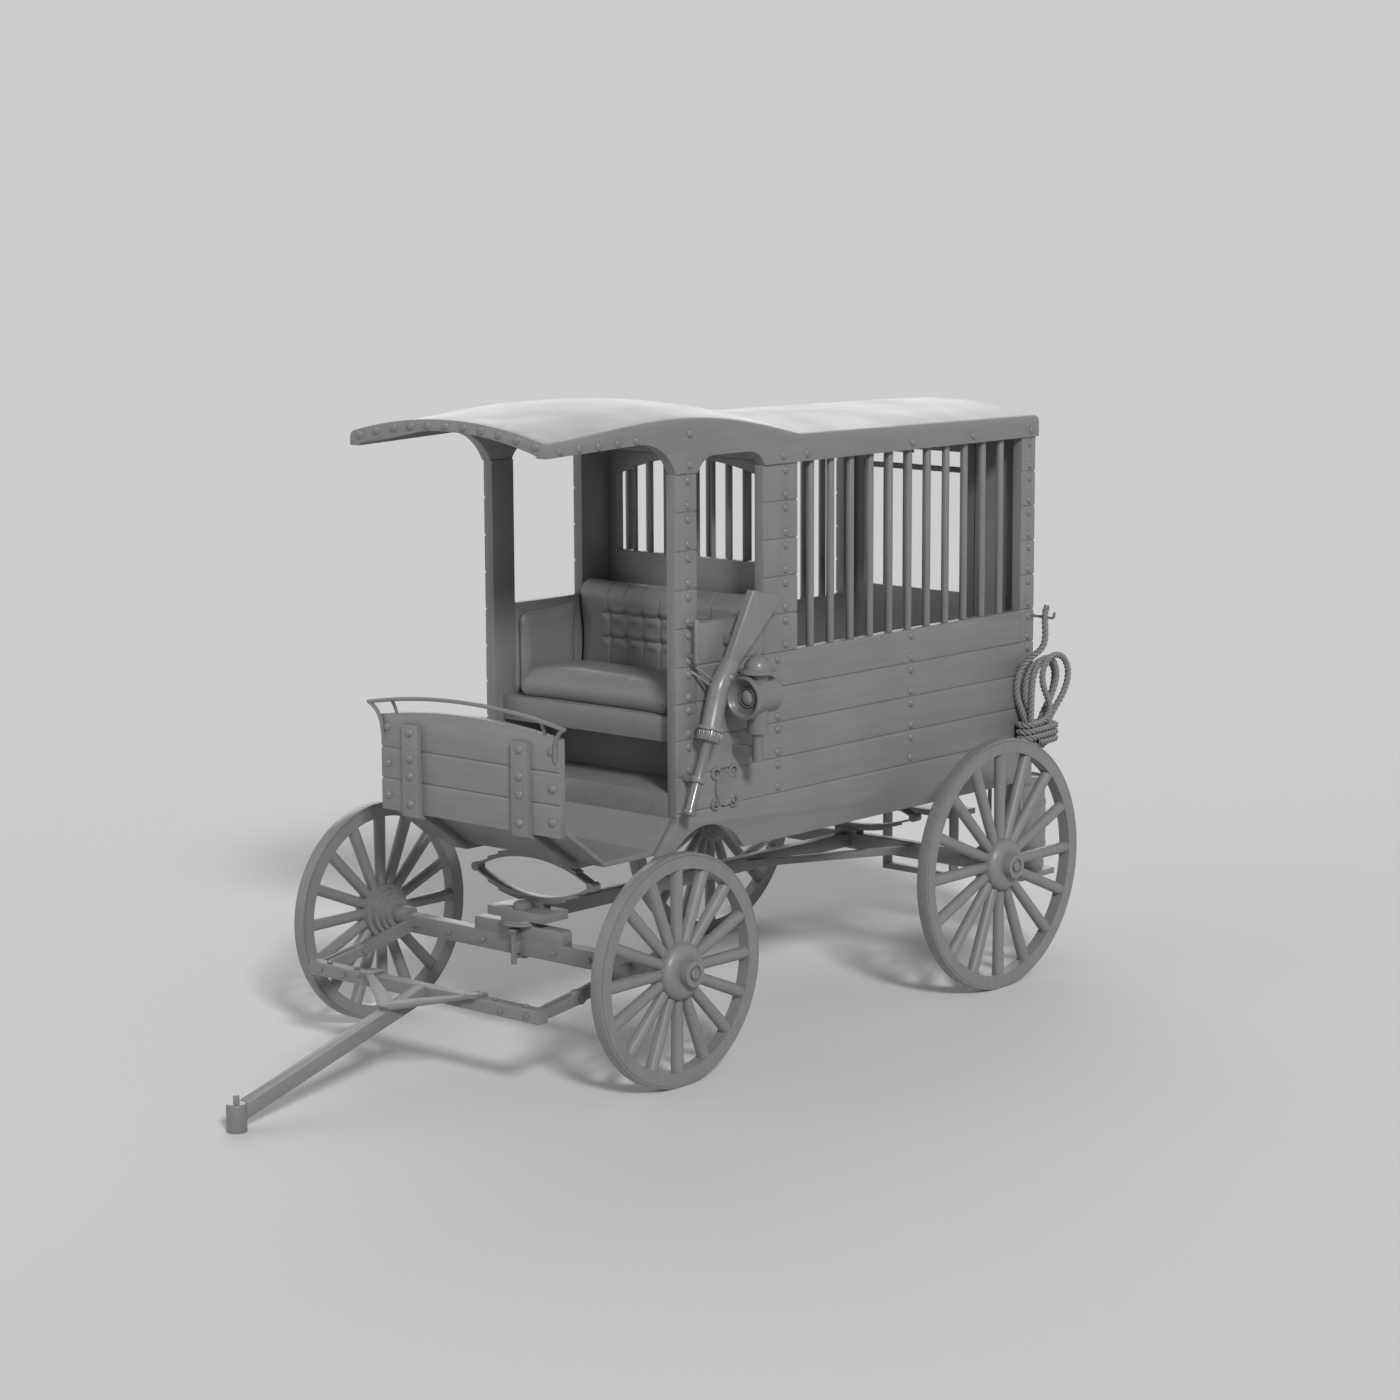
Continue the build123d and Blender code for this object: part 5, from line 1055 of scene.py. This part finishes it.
class WAGON_OT_cartouche(bpy.types.Operator):
    """Sets a blank oval plate with four scrolls on the left wall"""

    bl_idname = "wagon.cartouche"
    bl_label = "Blank cartouche"

    def execute(self, context):
        x, y, z = BODY_HALF + 0.004, -0.094, 1.078
        plate = cylinder(56, 1.0, 1.0, (0, 0, 0))
        plate.rotation_euler = (0, math.pi / 2, 0)
        plate.scale = (0.076, 0.058, 0.014)
        plate.location = (x, y, z)
        apply_transform(plate)
        pick_faces(plate, lambda polygon: polygon.normal.x > 0.9)
        with editing(plate):
            bpy.ops.mesh.inset(thickness=0.009, depth=0.0)
            bpy.ops.mesh.inset(thickness=0.005, depth=-0.005)
        rounded(plate, 0.0022, 2, 35)
        scrolls = [curl((x, y + along, z + up), start, hand) for along, up, start, hand in SCROLLS]
        settle(joined("cartouche", [plate, *scrolls]), "carriage", IRON)
        return {"FINISHED"}


class WAGON_OT_keg(bpy.types.Operator):
    """Builds the keg from staves and hoops"""

    bl_idname = "wagon.keg"
    bl_label = "Keg"

    def execute(self, context):
        low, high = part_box("keg")
        middle = (Vector(low) + Vector(high)) / 2
        tall = high[2] - low[2]
        belly = (high[0] - low[0]) / 2 - 0.0025
        keg = cylinder(22, belly, tall, middle)
        with editing(keg):
            for k in range(1, 8):
                bpy.ops.mesh.select_all(action="SELECT")
                level = low[2] + tall * k / 8
                bpy.ops.mesh.bisect(plane_co=(middle.x, middle.y, level), plane_no=UP)
        for vertex in keg.data.vertices:
            along = 2 * (vertex.co.z - middle.z) / tall
            narrow = 1 - KEG_TAPER / belly * along * along
            vertex.co.x = middle.x + (vertex.co.x - middle.x) * narrow
            vertex.co.y = middle.y + (vertex.co.y - middle.y) * narrow
        pick_faces(keg, lambda polygon: False)
        context.tool_settings.mesh_select_mode = (False, True, False)
        for edge in keg.data.edges:
            a, b = (keg.data.vertices[i].co for i in edge.vertices)
            edge.select = abs(a.z - b.z) > 0.01
        with editing(keg):
            bpy.ops.mesh.bevel(offset=0.0022, segments=2, profile=0.15)
        pick_faces(keg, lambda polygon: abs(polygon.normal.z) > 0.9)
        with editing(keg):
            bpy.ops.mesh.inset(thickness=0.010, depth=0.0)
            bpy.ops.mesh.inset(thickness=0.002, depth=-0.012)
        settle(keg, body_of("keg"), WOOD_UP, angle=25)
        keg.name = "keg_staves"
        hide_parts("keg")
        hoops = []
        for level in (0.06, 0.28, 0.72, 0.94):
            radius = belly - KEG_TAPER * (2 * level - 1) ** 2
            place = (middle.x, middle.y, low[2] + level * tall)
            hoop = cylinder(44, radius + 0.0012, 0.026, place, "NOTHING")
            modify(hoop, "SOLIDIFY", thickness=0.003, offset=0.0)
            rounded(hoop, 0.0008, 2, 40)
            hoops.append(hoop)
        settle(joined("keg_hoops", hoops), body_of("keg"), IRON)
        return {"FINISHED"}


def floor_material(backdrop):
    """Matt floor that fades into the backdrop, where the camera sees it."""
    material = bpy.data.materials.new("wagon_floor")
    material.use_nodes = True
    tree = material.node_tree
    shader = tree.nodes["Principled BSDF"]
    shader.inputs["Base Color"].default_value = (*settings().floor_colour, 1.0)
    shader.inputs["Roughness"].default_value = 0.9
    shader.inputs["Specular IOR Level"].default_value = 0.1
    reach = tree.nodes.new("ShaderNodeVectorMath")
    reach.operation = "LENGTH"
    tree.links.new(tree.nodes.new("ShaderNodeTexCoord").outputs["Object"], reach.inputs[0])
    fade = tree.nodes.new("ShaderNodeMapRange")
    fade.interpolation_type = "SMOOTHSTEP"
    fade.inputs["From Min"].default_value, fade.inputs["From Max"].default_value = FADE
    tree.links.new(reach.outputs["Value"], fade.inputs["Value"])
    rays = tree.nodes.new("ShaderNodeLightPath")
    seen = combine(tree, "MULTIPLY", fade.outputs["Result"], rays.outputs["Is Camera Ray"])
    glow = tree.nodes.new("ShaderNodeEmission")
    glow.inputs["Color"].default_value = backdrop
    blend(tree, seen, shader.outputs[0], glow.outputs[0], "Material Output")
    return material


def studio_world(backdrop):
    """Even white light, with the backdrop for what the camera, gloss and glass see."""
    world = bpy.data.worlds.new("wagon_world")
    world.use_nodes = True
    tree = world.node_tree
    light = tree.nodes["Background"]
    light.inputs["Color"].default_value = (1.0, 1.0, 1.0, 1.0)
    light.inputs["Strength"].default_value = AMBIENT
    shown = tree.nodes.new("ShaderNodeBackground")
    shown.inputs["Color"].default_value = backdrop
    rays = tree.nodes.new("ShaderNodeLightPath")
    seen = combine(tree, "MAXIMUM", rays.outputs["Is Camera Ray"], rays.outputs["Is Glossy Ray"])
    seen = combine(tree, "MAXIMUM", seen, rays.outputs["Is Transmission Ray"])
    blend(tree, seen, light.outputs[0], shown.outputs[0], "World Output")
    return world


class WAGON_OT_stage(bpy.types.Operator):
    """Sets the floor, the lights, the background and the camera"""

    bl_idname = "wagon.stage"
    bl_label = "Stage"

    def execute(self, context):
        backdrop = (*settings().backdrop_colour, 1.0)
        bpy.ops.mesh.primitive_plane_add(size=600.0, location=(0.0, 0.0, 0.0))
        floor = context.view_layer.objects.active
        floor.name = "studio_floor"
        floor.data.materials.append(floor_material(backdrop))
        for name, (place, width, strength) in SUNS.items():
            sun = bpy.data.lights.new(name, "SUN")
            sun.angle = math.radians(width)
            sun.energy = strength
            holder = linked(name, sun)
            holder.location = place
            holder.rotation_euler = (-Vector(place)).to_track_quat("-Z", "Y").to_euler()
        context.scene.world = studio_world(backdrop)
        context.scene.view_settings.view_transform = "Standard"
        camera = bpy.data.cameras.new("photo_camera")
        camera.lens = CAMERA_LENS
        camera.sensor_width = 36.0
        camera.clip_end = 400.0
        eye = linked("photo_camera", camera)
        aim = Vector(CAMERA_TARGET) - Vector(CAMERA_PLACE)
        turn = aim.to_track_quat("-Z", "Y").to_matrix().to_4x4()
        roll = Matrix.Rotation(math.radians(CAMERA_ROLL), 4, "Z")
        eye.matrix_world = Matrix.Translation(CAMERA_PLACE) @ turn @ roll
        context.scene.camera = eye
        return {"FINISHED"}


class WAGON_PT_panel(bpy.types.Panel):
    bl_label = "Jail Wagon"
    bl_idname = "WAGON_PT_panel"
    bl_space_type = "VIEW_3D"
    bl_region_type = "UI"
    bl_category = "Wagon"

    def draw(self, context):
        for operator in OPERATORS:
            self.layout.operator(operator.bl_idname)
        for key in WagonSettings.__annotations__:
            self.layout.prop(context.scene.wagon, key)


OPERATORS = (
    WAGON_OT_finishes,
    WAGON_OT_stage,
    WAGON_OT_rope,
    WAGON_OT_dressing,
    WAGON_OT_seat,
    WAGON_OT_rail,
    WAGON_OT_lamps,
    WAGON_OT_hook,
    WAGON_OT_rivets,
    WAGON_OT_bolts,
    WAGON_OT_cartouche,
    WAGON_OT_keg,
)


def register():
    for cls in (WagonSettings, *OPERATORS, WAGON_PT_panel):
        bpy.utils.register_class(cls)
    bpy.types.Scene.wagon = bpy.props.PointerProperty(type=WagonSettings)


def unregister():
    del bpy.types.Scene.wagon
    for cls in (WAGON_PT_panel, *reversed(OPERATORS), WagonSettings):
        bpy.utils.unregister_class(cls)


def main():
    register()
    bpy.ops.wagon.finishes()
    bpy.ops.wagon.stage()
    bpy.ops.wagon.rope()
    bpy.ops.wagon.dressing()
    bpy.ops.wagon.seat()
    bpy.ops.wagon.rail()
    bpy.ops.wagon.lamps()
    bpy.ops.wagon.hook()
    bpy.ops.wagon.rivets()
    bpy.ops.wagon.bolts()
    bpy.ops.wagon.cartouche()
    bpy.ops.wagon.keg()


if __name__ == "__main__":
    main()
